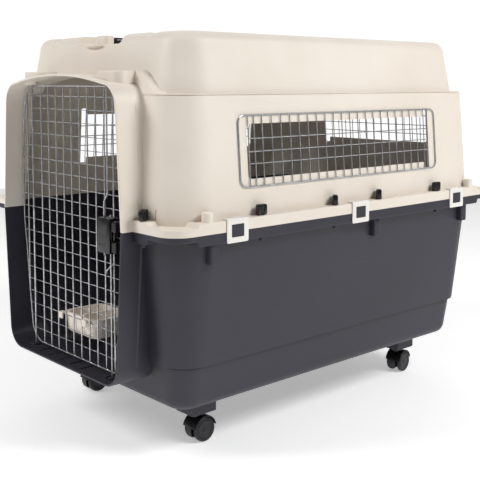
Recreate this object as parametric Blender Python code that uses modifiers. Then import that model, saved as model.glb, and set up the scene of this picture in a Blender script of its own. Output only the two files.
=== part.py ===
"""Pet travel crate for a large dog, modelled as the separate pieces it is put together from.

Frame: the origin is on the floor under the middle of the crate, +Z is up, the door looks
along -Y and the right-hand side is +X. All sizes are in metres.
"""
import math

import bmesh
import bpy
from mathutils import Matrix, Vector

# Overall sizes
OVERALL_LENGTH = 1.020
FLANGE_WIDTH = 0.690
ROOF_Z = 0.820
TUNNEL_PROUD = 0.025
FLANGE_LENGTH = OVERALL_LENGTH - TUNNEL_PROUD
CRATE_MID_Y = TUNNEL_PROUD / 2
FRONT_Y = -OVERALL_LENGTH / 2

# Clearances
GAP = 0.0003
TURN_GAP = 0.0003

# Two plastic half shells
WALL = 0.004
SIDE_OVERHANG = 0.0195
END_OVERHANG = 0.020
BODY_WIDTH = FLANGE_WIDTH - SIDE_OVERHANG * 2
BODY_LENGTH = FLANGE_LENGTH - END_OVERHANG * 2
BODY_CORNER = 0.090
BASE_Z = 0.100
BASE_EDGE = 0.025
BAND_Z = 0.190
BAND_HEIGHT = 0.005
BAND_STEP = 0.008
SEAM_Z = 0.450
FLANGE_BELOW = 0.020
FLANGE_ABOVE = 0.022
FLANGE_CORNER = 0.045
LOWER_DRAFT = math.radians(6.4)
UPPER_DRAFT = math.radians(4.35)
FLANGE_LOW_Z = SEAM_Z - FLANGE_BELOW
LEDGE_Z = SEAM_Z + FLANGE_ABOVE
STEP_Z = 0.702

# Roof
ROOF_SIDE_SETBACK = 0.0275
ROOF_END_SETBACK = 0.0345
ROOF_WIDTH = BODY_WIDTH - ROOF_SIDE_SETBACK * 2
ROOF_LENGTH = BODY_LENGTH - ROOF_END_SETBACK * 2
ROOF_CORNER = 0.085
ROOF_EDGE = 0.028
ROOF_LEAN = 0.0135
GROOVE_X = 0.170
GROOVE_WIDTH = 0.040
GROOVE_FLOOR_WIDTH = 0.016
GROOVE_DEPTH = 0.012
RECESS_WIDTH = 0.170
RECESS_DEPTH = 0.020
RECESS_LENGTH = 0.240
BOSS_WIDTH = 0.040
BOSS_LENGTH = 0.024
BOSS_SETBACK = 0.0135

# Doorway tunnel
TUNNEL_SEAM_HALF = 0.226
TUNNEL_UPPER_HALF = 0.211
TUNNEL_UPPER_CORNER = 0.045
TUNNEL_CORNER_Z = 0.679
TUNNEL_ARCH_RISE = 0.0165
TUNNEL_LOWER_HALF = 0.208
TUNNEL_LOWER_CORNER = 0.045
TUNNEL_FLOOR_Z = 0.150
TUNNEL_REACH = 0.110
PANEL_TOP_Z = 0.746
PANEL_TOP_HALF = 0.181
PANEL_FOOT_HALF = 0.255
PANEL_PROUD = 0.0155
SOCKET_BLOCK_INNER_X = 0.105
SOCKET_BLOCK_REACH = 0.040

# Windows
WINDOW_END_MARGIN = 0.1955
WINDOW_LENGTH = BODY_LENGTH - WINDOW_END_MARGIN * 2
WINDOW_MID = -0.0145
WINDOW_LOW_Z = 0.540
WINDOW_HIGH_Z = 0.645
REAR_WINDOW_LOW_Z = 0.568
REAR_WINDOW_HIGH_Z = 0.655
WINDOW_CORNER = 0.010
REAR_WINDOW_LENGTH = 0.350
LOBE_WIDTH = 0.018
LOBE_HEIGHT = 0.0155
LOBE_INSET = 0.005
NET_LOW_Z = 0.5237
NET_HIGH_Z = 0.6632
REAR_NET_LOW_Z = 0.5517
REAR_NET_HIGH_Z = 0.6732
REAR_NET_RAISE = 0.020
NET_MARGIN = 0.0375
NET_FIRST_UPRIGHT = 0.0255
NET_LAST_UPRIGHT = 0.008
SIDE_NET_LENGTH = 0.5435
SIDE_NET_MID = -0.01125
NET_WIRE = 0.0024
NET_FRAME_WIRE = 0.0034
NET_THICKNESS = 0.0024
NET_PITCH = 0.0512
NET_FIRST_ROW_Z = 0.569
NET_SECOND_ROW_Z = 0.592
NET_THIRD_ROW_Z = 0.617

# Door of welded wire
DOOR_SETBACK = 0.038
DOOR_PLANE_Y = FRONT_Y + DOOR_SETBACK
DOOR_WIRE = 0.0026
DOOR_FRAME_WIRE = 0.0040
DOOR_THICKNESS = 0.003
DOOR_TOP_Z = 0.716
DOOR_BOTTOM_Z = 0.161
DOOR_FIRST_ROW_Z = 0.695
DOOR_ROW_PITCH = 0.0267
DOOR_ROWS = 20
DOOR_COLUMN_PITCH = 0.030
DOOR_EDGE_COLUMN_X = -0.186
DOOR_FIRST_COLUMN_X = -0.126
DOOR_COLUMNS = 11
DOOR_OUTLINE = ((0.716, 0.162), (0.702, 0.187), (0.690, 0.194), (0.667, 0.199), (0.585, 0.207),
                (0.425, 0.206), (0.370, 0.197), (0.264, 0.185), (0.188, 0.175), (0.174, 0.165),
                (0.161, 0.146))
HINGE_X = -0.156
HINGE_ROD_RADIUS = 0.002
SOCKET_PAD_HEIGHT = 0.004
SOCKET_PAD_RADIUS = 0.013
HINGE_BORE_DEPTH = 0.0055

# Door latch
LATCH_X = 0.110
LATCH_WIDTH = 0.042
LATCH_LOW_Z = 0.397
LATCH_HEIGHT = 0.068
LATCH_DEPTH = 0.014
LATCH_WALL = 0.003
LATCH_BACK_DEPTH = 0.006
LATCH_ROD_RADIUS = 0.00175
LATCH_ROD_GAP = 0.0008
UPPER_ROD_X = 0.133
UPPER_ROD_LEG_X = 0.121
LOWER_ROD_X = 0.143
ROD_JOG_HIGH_Z = 0.509
ROD_JOG_LOW_Z = 0.497
LATCH_TRAVEL = 0.008
GRIP_WIDTH = 0.0165
GRIP_CLEARANCE = 0.0014
ARM_HEIGHT = 0.008
LATCH_ROD_POKE = 0.006
SPRING_RADIUS = 0.0032
SPRING_X = 0.132
KEEPER_SLOT_WIDTH = 0.0056
ROD_END_GAP = 0.0007

# Side clips
CLIP_END_MARGIN = 0.1495
CLIP_PITCH = FLANGE_LENGTH / 2 - CLIP_END_MARGIN
CLIP_WIDTH = 0.053
CLIP_LOW_Z = 0.4293
CLIP_THICKNESS = 0.0025
CLIP_TOP_DEPTH = 0.012
CLIP_WINDOW_WIDTH = 0.031
CLIP_WINDOW_LOW_Z = 0.4395
CLIP_WINDOW_HEIGHT = 0.0245
LUG_WIDTH = 0.029
LUG_MARGIN = 0.0015

# Wing nuts and the studs that they turn on
NUT_LENGTH = 0.023
NUT_WIDTH = 0.0095
NUT_HEIGHT = 0.021
NUT_BORE_DEPTH = 0.013
STUD_RADIUS = 0.003
STUD_DEPTH = 0.0255
NUB_RADIUS = 0.005
NUB_HEIGHT = 0.007
SIDE_NUT_INSET = 0.0075
SIDE_NUT_X = FLANGE_WIDTH / 2 - SIDE_NUT_INSET
INNER_NUT_OFFSET = 0.0705
OUTER_NUT_MARGIN = 0.218
OUTER_NUT_OFFSET = FLANGE_LENGTH / 2 - OUTER_NUT_MARGIN
INNER_NUT_TURN = 45
FRONT_NUT_TURN = 26
FRONT_NUT_MARGIN = 0.0215
FRONT_NUT_INSET = 0.008
CORNER_BOSS_INSET = 0.010
CORNER_BOSS_MARGIN = 0.086
CORNER_BOSS_X = FLANGE_WIDTH / 2 - CORNER_BOSS_INSET
CORNER_BOSS_OFFSET = FLANGE_LENGTH / 2 - CORNER_BOSS_MARGIN
CORNER_BOSS_RADIUS = 0.0105
CORNER_BOSS_HEIGHT = 0.018
COLUMN_FRONT_MARGIN = 0.105
COLUMN_REAR_MARGIN = 0.100
COLUMN_WIDTH = 0.021
COLUMN_HEIGHT = 0.040
COLUMN_INSET = 0.009

# Casters
WHEEL_RADIUS = 0.025
WHEEL_WIDTH = 0.012
WHEEL_EDGE = 0.003
AXLE_RADIUS = 0.003
WEB_WIDTH = 0.015
HOOD_GAP = 0.001
HOOD_WALL = 0.0027
HOOD_SIDE_LOW = 0.006
WEB_BOTTOM_Z = 0.013
NECK_RADIUS = 0.006
COLLAR_RADIUS = 0.011
STEM_RADIUS = 0.005
STEM_LENGTH = 0.028
SOCKET_Z = 0.062
SOCKET_LENGTH = 0.062
SOCKET_WIDTH = 0.056
CASTER_SIDE_INSET = 0.1305
CASTER_END_INSET = 0.1525
CASTER_X = BODY_WIDTH / 2 - CASTER_SIDE_INSET
CASTER_OFFSET_Y = BODY_LENGTH / 2 - CASTER_END_INSET
CASTER_TRAIL = 0.009
CASTER_FRONT_TURN = 0.0
CASTER_REAR_TURN = math.radians(9)

# Double feeding bowl
BOWL_LEFT_X = -0.054
BOWL_WIDTH = 0.122
BOWL_DEPTH = 0.098
BOWL_LOW_Z = 0.206
BOWL_HEIGHT = 0.041
BOWL_WALL = 0.0025
BOWL_CORNER = 0.014
BOWL_HOOK_WIDTH = 0.014
BOWL_HOOK_THICKNESS = 0.003
BOWL_HOOK_DROP = 0.011
BOWL_HOOK_X = (-0.051, 0.039)
BOWL_HOOK_ROW = 17

# Folding carry handle
HANDLE_GRIP_RADIUS = 0.0065
HANDLE_LENGTH = 0.130
HANDLE_ARM = 0.032
HANDLE_PIVOT_X = -0.014
HANDLE_PIVOT_LIFT = 0.0085
HANDLE_HEEL = 0.0045
HANDLE_PIN_RADIUS = 0.0025

CORNER_STEPS = 5
ROUND_STEPS = 16
SMALL_STEPS = 8


# Scene, collections and materials
def clear_scene():
    for item in list(bpy.data.objects):
        bpy.data.objects.remove(item, do_unlink=True)


def new_collection(name):
    collection = bpy.data.collections.new(name)
    bpy.context.scene.collection.children.link(collection)
    return collection


def make_material(name, colour, roughness, metallic=0.0):
    material = bpy.data.materials.new(name)
    material.use_nodes = True
    shader = material.node_tree.nodes["Principled BSDF"]
    shader.inputs["Base Color"].default_value = (*colour, 1.0)
    shader.inputs["Roughness"].default_value = roughness
    shader.inputs["Metallic"].default_value = metallic
    return material


clear_scene()
PARTS = new_collection("pet_travel_crate")
CUTTERS = new_collection("cutters")
CREAM_PLASTIC = make_material("cream_plastic", (0.80, 0.74, 0.66), 0.50)
GREY_PLASTIC = make_material("grey_plastic", (0.066, 0.064, 0.082), 0.50)
BLACK_PLASTIC = make_material("black_plastic", (0.010, 0.010, 0.012), 0.40)
WHITE_PLASTIC = make_material("white_plastic", (0.85, 0.85, 0.83), 0.40)
STEEL_WIRE = make_material("steel_wire", (0.62, 0.62, 0.64), 0.28, 1.0)
TYRE_GREY = make_material("wheel_plastic", (0.030, 0.030, 0.034), 0.45)


# Making and joining solids
def place_mesh(name, bm, material=None, pivot=(0.0, 0.0, 0.0), smooth=None):
    """Make an object from world-space bmesh geometry, with its origin at the pivot."""
    bmesh.ops.recalc_face_normals(bm, faces=bm.faces)
    bmesh.ops.translate(bm, verts=bm.verts, vec=-Vector(pivot))
    mesh = bpy.data.meshes.new(name)
    bm.to_mesh(mesh)
    bm.free()
    if smooth is not None:
        mesh.shade_smooth()
        mesh.set_sharp_from_angle(angle=math.radians(smooth))
    part = bpy.data.objects.new(name, mesh)
    part.location = pivot
    if material is None:
        CUTTERS.objects.link(part)
        part.hide_render = True
        part.display_type = "WIRE"
    else:
        mesh.materials.append(material)
        PARTS.objects.link(part)
    return part


def box_mesh(x_range, y_range, z_range):
    bm = bmesh.new()
    bmesh.ops.create_cube(bm, size=1.0)
    size = Vector((x_range[1] - x_range[0], y_range[1] - y_range[0], z_range[1] - z_range[0]))
    middle = Vector((sum(x_range) / 2, sum(y_range) / 2, sum(z_range) / 2))
    bmesh.ops.scale(bm, verts=bm.verts, vec=size)
    bmesh.ops.translate(bm, verts=bm.verts, vec=middle)
    return bm


def box(name, x_range, y_range, z_range, material=None, pivot=(0.0, 0.0, 0.0)):
    return place_mesh(name, box_mesh(x_range, y_range, z_range), material, pivot)


def cylinder_mesh(start, end, radius, steps, end_radius=None):
    start = Vector(start)
    end = Vector(end)
    along = end - start
    turn = along.to_track_quat("Z", "Y").to_matrix().to_4x4()
    place = Matrix.Translation((start + end) / 2) @ turn
    last = radius if end_radius is None else end_radius
    bm = bmesh.new()
    bmesh.ops.create_cone(bm, cap_ends=True, segments=steps, radius1=radius, radius2=last,
                          depth=along.length, matrix=place)
    return bm


def cylinder(name, start, end, radius, steps=ROUND_STEPS, material=None, pivot=(0, 0, 0), smooth=40):
    bm = cylinder_mesh(start, end, radius, steps)
    return place_mesh(name, bm, material, pivot, smooth)


def bore_radius(radius, steps=SMALL_STEPS, clearance=TURN_GAP):
    """Radius of a faceted bore whose flats stay clear of a round piece turning in it."""
    return (radius + clearance) / math.cos(math.pi / steps)


def join_or_cut(target, tool, operation):
    modifier = target.modifiers.new(tool.name, "BOOLEAN")
    modifier.object = tool
    modifier.operation = operation
    modifier.solver = "EXACT"


def add_solid(target, tool):
    join_or_cut(target, tool, "UNION")


def cut_solid(target, tool):
    join_or_cut(target, tool, "DIFFERENCE")


def outline_solid(name, points, thickness, place, material=None, pivot=(0.0, 0.0, 0.0)):
    """A flat outline thickened evenly about its plane, then moved by the matrix place."""
    curve = bpy.data.curves.new(name + "_outline", "CURVE")
    curve.dimensions = "2D"
    curve.fill_mode = "BOTH"
    curve.extrude = thickness / 2
    spline = curve.splines.new("POLY")
    spline.points.add(len(points) - 1)
    for point, (across, up) in zip(spline.points, points):
        point.co = (across, up, 0.0, 1.0)
    spline.use_cyclic_u = True
    guide = bpy.data.objects.new(name + "_outline", curve)
    bpy.context.scene.collection.objects.link(guide)
    bpy.context.view_layer.update()
    graph = bpy.context.evaluated_depsgraph_get()
    mesh = bpy.data.meshes.new_from_object(guide.evaluated_get(graph))
    bpy.data.objects.remove(guide, do_unlink=True)
    bm = bmesh.new()
    bm.from_mesh(mesh)
    bpy.data.meshes.remove(mesh)
    bmesh.ops.remove_doubles(bm, verts=bm.verts, dist=0.00001)
    bmesh.ops.transform(bm, matrix=place, verts=bm.verts)
    return place_mesh(name, bm, material, pivot)


def along_y(y_middle):
    """Stand an outline drawn in x and z upright, facing along Y."""
    return Matrix.Translation((0.0, y_middle, 0.0)) @ Matrix.Rotation(math.radians(90), 4, "X")


def along_x(x_middle):
    """Stand an outline drawn in y and z upright, facing along X."""
    return Matrix(((0, 0, 1, x_middle), (1, 0, 0, 0), (0, 1, 0, 0), (0, 0, 0, 1)))


def arc_points(centre, radius, start, end, steps):
    points = []
    for step in range(steps + 1):
        angle = math.radians(start + (end - start) * step / steps)
        points.append((centre[0] + radius * math.cos(angle), centre[1] + radius * math.sin(angle)))
    return points


def rounded_rectangle(half_x, half_y, radius, middle=(0.0, 0.0), steps=CORNER_STEPS):
    points = []
    for quarter, (side_x, side_y) in enumerate(((1, 1), (-1, 1), (-1, -1), (1, -1))):
        centre = (middle[0] + side_x * (half_x - radius), middle[1] + side_y * (half_y - radius))
        points += arc_points(centre, radius, 90 * quarter, 90 * quarter + 90, steps)
    return points


def loft(name, sections, material=None):
    """Skin a stack of rounded rectangles given as (z, half x, half y, corner radius)."""
    bm = bmesh.new()
    rings = []
    for z, half_x, half_y, radius in sections:
        outline = rounded_rectangle(half_x, half_y, radius, (0.0, CRATE_MID_Y))
        rings.append([bm.verts.new((x, y, z)) for x, y in outline])
    for lower, upper in zip(rings, rings[1:]):
        for index in range(len(lower)):
            following = (index + 1) % len(lower)
            bm.faces.new((lower[index], lower[following], upper[following], upper[index]))
    bm.faces.new(list(reversed(rings[0])))
    bm.faces.new(rings[-1])
    return place_mesh(name, bm, material, smooth=35)


# Where the drafted walls stand
def wall_inset(z):
    """How far the outer wall face stands in from its line at the flange."""
    if z < FLANGE_LOW_Z:
        inset = (FLANGE_LOW_Z - z) * math.tan(LOWER_DRAFT)
        return inset + (BAND_STEP if z <= BAND_Z else 0.0)
    return max(0.0, z - LEDGE_Z) * math.tan(UPPER_DRAFT)


def wall_half_x(z):
    return BODY_WIDTH / 2 - wall_inset(z)


def wall_half_y(z):
    return BODY_LENGTH / 2 - wall_inset(z)


def wall_section(z, inset=0.0):
    return (z, wall_half_x(z) - inset, wall_half_y(z) - inset, BODY_CORNER - inset)


def edge_sections(z_outer, half_x, half_y, corner, edge, upward, steps=4):
    """Sections of a rounded bottom edge (upward 1) or top edge (upward -1)."""
    sections = []
    for step in range(steps + 1):
        angle = math.radians(90 * step / steps)
        z = z_outer + upward * edge * (1 - math.sin(angle))
        inset = edge * (1 - math.cos(angle))
        sections.append((z, half_x - inset, half_y - inset, max(corner - inset, 0.01)))
    return sections if upward < 0 else list(reversed(sections))


# Doorway tunnel outlines, drawn in x and z
def tunnel_ceiling(x, inset=0.0):
    """Underside (inset a wall) or top (inset 0) of the arched tunnel roof."""
    arch_half = TUNNEL_UPPER_HALF - TUNNEL_UPPER_CORNER
    rise = TUNNEL_ARCH_RISE * (1 - (x / arch_half) ** 2)
    return TUNNEL_CORNER_Z + TUNNEL_UPPER_CORNER + rise - inset


def tunnel_upper_outline(low_z, inset):
    arch_half = TUNNEL_UPPER_HALF - TUNNEL_UPPER_CORNER
    corner = TUNNEL_UPPER_CORNER - inset
    slope = (TUNNEL_SEAM_HALF - TUNNEL_UPPER_HALF) / (TUNNEL_CORNER_Z - SEAM_Z)
    right = [(TUNNEL_SEAM_HALF - (low_z - SEAM_Z) * slope - inset, low_z)]
    right += arc_points((arch_half, TUNNEL_CORNER_Z), corner, 0, 90, CORNER_STEPS)
    for share in (0.75, 0.5, 0.25):
        right.append((arch_half * share, tunnel_ceiling(arch_half * share, inset)))
    top = [(0.0, tunnel_ceiling(0.0, inset))]
    left = [(-x, z) for x, z in reversed(right)]
    return right + top + left


def tunnel_lower_outline(high_z, inset):
    corner = TUNNEL_LOWER_CORNER - inset
    centre = (TUNNEL_LOWER_HALF - TUNNEL_LOWER_CORNER, TUNNEL_FLOOR_Z + TUNNEL_LOWER_CORNER)
    slope = (TUNNEL_SEAM_HALF - TUNNEL_LOWER_HALF) / (SEAM_Z - centre[1])
    right = arc_points(centre, corner, -90, 0, CORNER_STEPS)
    right.append((TUNNEL_SEAM_HALF + (high_z - SEAM_Z) * slope - inset, high_z))
    left = [(-x, z) for x, z in reversed(right)]
    return right + left


def tunnel_solid(name, outline, front_y, reach):
    return outline_solid(name, outline, reach, along_y(front_y + reach / 2))


# Lower half shell
def flange_section(z, inset=0.0):
    return (z, FLANGE_WIDTH / 2 - inset, FLANGE_LENGTH / 2 - inset, FLANGE_CORNER)


def side_places(offsets):
    """Mirrored places along both sides; the left side is the right side turned half round."""
    for side in (1, -1):
        for offset in offsets:
            yield side, CRATE_MID_Y + side * offset


def nut_places():
    """Name, position and rest angle of each wing nut."""
    offsets = ((-OUTER_NUT_OFFSET, 0), (-INNER_NUT_OFFSET, INNER_NUT_TURN),
               (INNER_NUT_OFFSET, INNER_NUT_TURN), (OUTER_NUT_OFFSET, 0))
    front_x = TUNNEL_SEAM_HALF + FRONT_NUT_MARGIN
    front_y = CRATE_MID_Y - FLANGE_LENGTH / 2 + FRONT_NUT_INSET
    places = []
    for side, label in ((1, "right"), (-1, "left")):
        for index, (offset, turn) in enumerate(offsets):
            places.append((f"{label}_{index + 1}", side * SIDE_NUT_X, CRATE_MID_Y + offset,
                           90 + side * turn))
        places.append((f"front_{label}", side * front_x, front_y, 90 + side * FRONT_NUT_TURN))
    return places


def column_offsets():
    """Places of the columns along one side, from the crate's middle."""
    front = COLUMN_FRONT_MARGIN - FLANGE_LENGTH / 2
    rear = FLANGE_LENGTH / 2 - COLUMN_REAR_MARGIN
    return front, INNER_NUT_OFFSET, rear


def caster_places():
    """Name, side, end and stem position of each caster."""
    places = []
    for end, end_label in ((-1, "front"), (1, "rear")):
        for side, side_label in ((1, "right"), (-1, "left")):
            stem_y = CRATE_MID_Y + end * CASTER_OFFSET_Y
            places.append((f"{end_label}_{side_label}", end, side * CASTER_X, stem_y))
    return places


def build_lower_shell():
    low_half_x = wall_half_x(BASE_Z)
    low_half_y = wall_half_y(BASE_Z)
    sections = edge_sections(BASE_Z, low_half_x, low_half_y, BODY_CORNER, BASE_EDGE, 1, 3)
    sections += [wall_section(z) for z in (BAND_Z, BAND_Z + BAND_HEIGHT, FLANGE_LOW_Z)]
    sections.append(wall_section(SEAM_Z))
    shell = loft("lower_shell", sections, GREY_PLASTIC)

    add_solid(shell, loft("lower_flange", [flange_section(FLANGE_LOW_Z), flange_section(SEAM_Z)]))
    outline = tunnel_lower_outline(SEAM_Z, 0.0)
    add_solid(shell, tunnel_solid("lower_tunnel", outline, FRONT_Y, TUNNEL_REACH))
    for index, (side, y) in enumerate(side_places(column_offsets())):
        outer = FLANGE_WIDTH / 2 - COLUMN_INSET
        x_range = sorted((side * outer, side * (wall_half_x(BAND_Z + BAND_HEIGHT) - WALL)))
        y_range = (y - COLUMN_WIDTH / 2, y + COLUMN_WIDTH / 2)
        z_range = (FLANGE_LOW_Z - COLUMN_HEIGHT, FLANGE_LOW_Z + FLANGE_BELOW / 2)
        add_solid(shell, box(f"column_{index}", x_range, y_range, z_range))
    for index, (side, y) in enumerate(side_places((-CLIP_PITCH, 0.0, CLIP_PITCH))):
        add_lug(shell, index, side, y)
    for name, x, y, _turn in nut_places():
        nub = cylinder(f"nub_{name}", (x, y, FLANGE_LOW_Z - NUB_HEIGHT), (x, y, SEAM_Z - STUD_RADIUS),
                       NUB_RADIUS, SMALL_STEPS)
        add_solid(shell, nub)
    for name, _end, x, y in caster_places():
        x_range = (x - SOCKET_WIDTH / 2, x + SOCKET_WIDTH / 2)
        y_range = (y - SOCKET_LENGTH / 2, y + SOCKET_LENGTH / 2)
        add_solid(shell, box(f"caster_socket_{name}", x_range, y_range, (SOCKET_Z, BASE_Z + BASE_EDGE)))

    floor = edge_sections(BASE_Z + WALL, low_half_x - WALL, low_half_y - WALL, BODY_CORNER - WALL,
                          BASE_EDGE - WALL, 1, 3)
    cavity = floor + [wall_section(z, WALL) for z in (BAND_Z, BAND_Z + BAND_HEIGHT, FLANGE_LOW_Z)]
    cavity.append(wall_section(LEDGE_Z, WALL))
    cut_solid(shell, loft("lower_cavity", cavity))
    outline = tunnel_lower_outline(LEDGE_Z, WALL)
    reach = TUNNEL_REACH + WALL
    cut_solid(shell, tunnel_solid("lower_passage", outline, FRONT_Y - WALL, reach))

    floor_z = TUNNEL_FLOOR_Z + WALL
    rod_y = hinge_rod_y()
    pads = (("hinge", HINGE_X, rod_y), ("latch", LOWER_ROD_X, latch_rod_y()))
    for label, x, y in pads:
        add_solid(shell, cylinder(f"floor_pad_{label}", (x, y, floor_z - WALL / 2),
                                  (x, y, floor_z + SOCKET_PAD_HEIGHT), SOCKET_PAD_RADIUS, 16))
    bore_low = floor_z + SOCKET_PAD_HEIGHT - HINGE_BORE_DEPTH
    bore_high = floor_z + WALL * 2
    cut_solid(shell, cylinder("floor_bore", (HINGE_X, rod_y, bore_low), (HINGE_X, rod_y, bore_high),
                              bore_radius(HINGE_ROD_RADIUS), SMALL_STEPS))
    cut_solid(shell, keeper_slot("floor_keeper_slot", LOWER_ROD_X, floor_z, floor_z + SOCKET_PAD_HEIGHT * 2))
    for name, x, y, _turn in nut_places():
        cut_solid(shell, cylinder(f"low_stud_bore_{name}", (x, y, SEAM_Z - STUD_DEPTH), (x, y, LEDGE_Z),
                                  bore_radius(STUD_RADIUS), SMALL_STEPS))
    for name, _end, x, y in caster_places():
        top = SOCKET_Z + STEM_LENGTH + GAP
        cut_solid(shell, cylinder(f"stem_bore_{name}", (x, y, SOCKET_Z - WALL), (x, y, top),
                                  bore_radius(STEM_RADIUS), SMALL_STEPS))
    return shell


def keeper_slot(name, x, low_z, high_z):
    """Open notch that a latch rod's tip slides out of, towards the front."""
    y = latch_rod_y()
    x_range = (x - KEEPER_SLOT_WIDTH / 2, x + KEEPER_SLOT_WIDTH / 2)
    y_range = (y - SOCKET_PAD_RADIUS * 2, y + KEEPER_SLOT_WIDTH / 2)
    return box(name, x_range, y_range, (low_z, high_z))


def add_lug(shell, index, side, y):
    """Catch for a side clip: rooted in the lower flange, reaching up past the seam."""
    flange_x = FLANGE_WIDTH / 2
    face_x = flange_x + CLIP_THICKNESS
    low_z = CLIP_WINDOW_LOW_Z + LUG_MARGIN
    high_z = CLIP_WINDOW_LOW_Z + CLIP_WINDOW_HEIGHT - LUG_MARGIN
    y_range = (y - LUG_WIDTH / 2, y + LUG_WIDTH / 2)
    root = sorted((side * (flange_x - WALL), side * (flange_x + GAP)))
    plate = sorted((side * (flange_x + GAP), side * face_x))
    lug = box(f"lug_{index}", plate, y_range, (low_z, high_z))
    add_solid(lug, box(f"lug_root_{index}", root, y_range, (low_z, SEAM_Z - GAP)))
    add_solid(shell, lug)


# Upper half shell
def roof_sections(inset, top_z, low_z):
    half_x = ROOF_WIDTH / 2 - inset
    half_y = ROOF_LENGTH / 2 - inset
    corner = ROOF_CORNER - inset
    edge = ROOF_EDGE - inset
    sections = [(low_z, half_x, half_y, corner)]
    return sections + edge_sections(top_z, half_x - ROOF_LEAN, half_y - ROOF_LEAN, corner, edge, -1)


def groove_outline(x, extra):
    """Trapezium section of a roof groove, or of the rib under it when extra is a wall."""
    half_top = GROOVE_WIDTH / 2 + extra
    half_floor = GROOVE_FLOOR_WIDTH / 2 + extra
    floor_z = ROOF_Z - GROOVE_DEPTH - extra
    top_z = ROOF_Z + GROOVE_DEPTH
    return [(x - half_floor, floor_z), (x + half_floor, floor_z), (x + half_top, ROOF_Z),
            (x + half_top, top_z), (x - half_top, top_z), (x - half_top, ROOF_Z)]


def recess_y_range():
    front = CRATE_MID_Y - ROOF_LENGTH / 2
    return front - WALL, front + RECESS_LENGTH


def panel_outline():
    """Raised front panel whose top line drops in an S curve to the step on each side."""
    span = PANEL_FOOT_HALF - PANEL_TOP_HALF
    drop = PANEL_TOP_Z - STEP_Z
    right = []
    for step in range(9):
        share = step / 8
        ease = share * share * (3 - 2 * share)
        right.append((PANEL_FOOT_HALF - span * share, STEP_Z + drop * ease))
    left = [(-x, z) for x, z in reversed(right)]
    low_z = STEP_Z - drop
    return [(-PANEL_FOOT_HALF, low_z), (PANEL_FOOT_HALF, low_z)] + right + left


def cut_window(shell, name, mid, length, lobe_end, place, depth, low_z=WINDOW_LOW_Z,
               high_z=WINDOW_HIGH_Z):
    """Rounded window opening with a pair of lobes near the end that lobe_end (1 or -1) names."""
    middle_z = (low_z + high_z) / 2
    half_z = (high_z - low_z) / 2
    points = rounded_rectangle(length / 2, half_z, WINDOW_CORNER, (mid, middle_z), 3)
    cut_solid(shell, outline_solid(f"{name}_opening", points, depth, place))
    lobe_mid = mid + lobe_end * (length / 2 + LOBE_INSET - LOBE_WIDTH / 2)
    lobe = rounded_rectangle(LOBE_WIDTH / 2, half_z + LOBE_HEIGHT, LOBE_WIDTH / 3, (lobe_mid, middle_z), 2)
    cut_solid(shell, outline_solid(f"{name}_lobes", lobe, depth, place))


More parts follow.
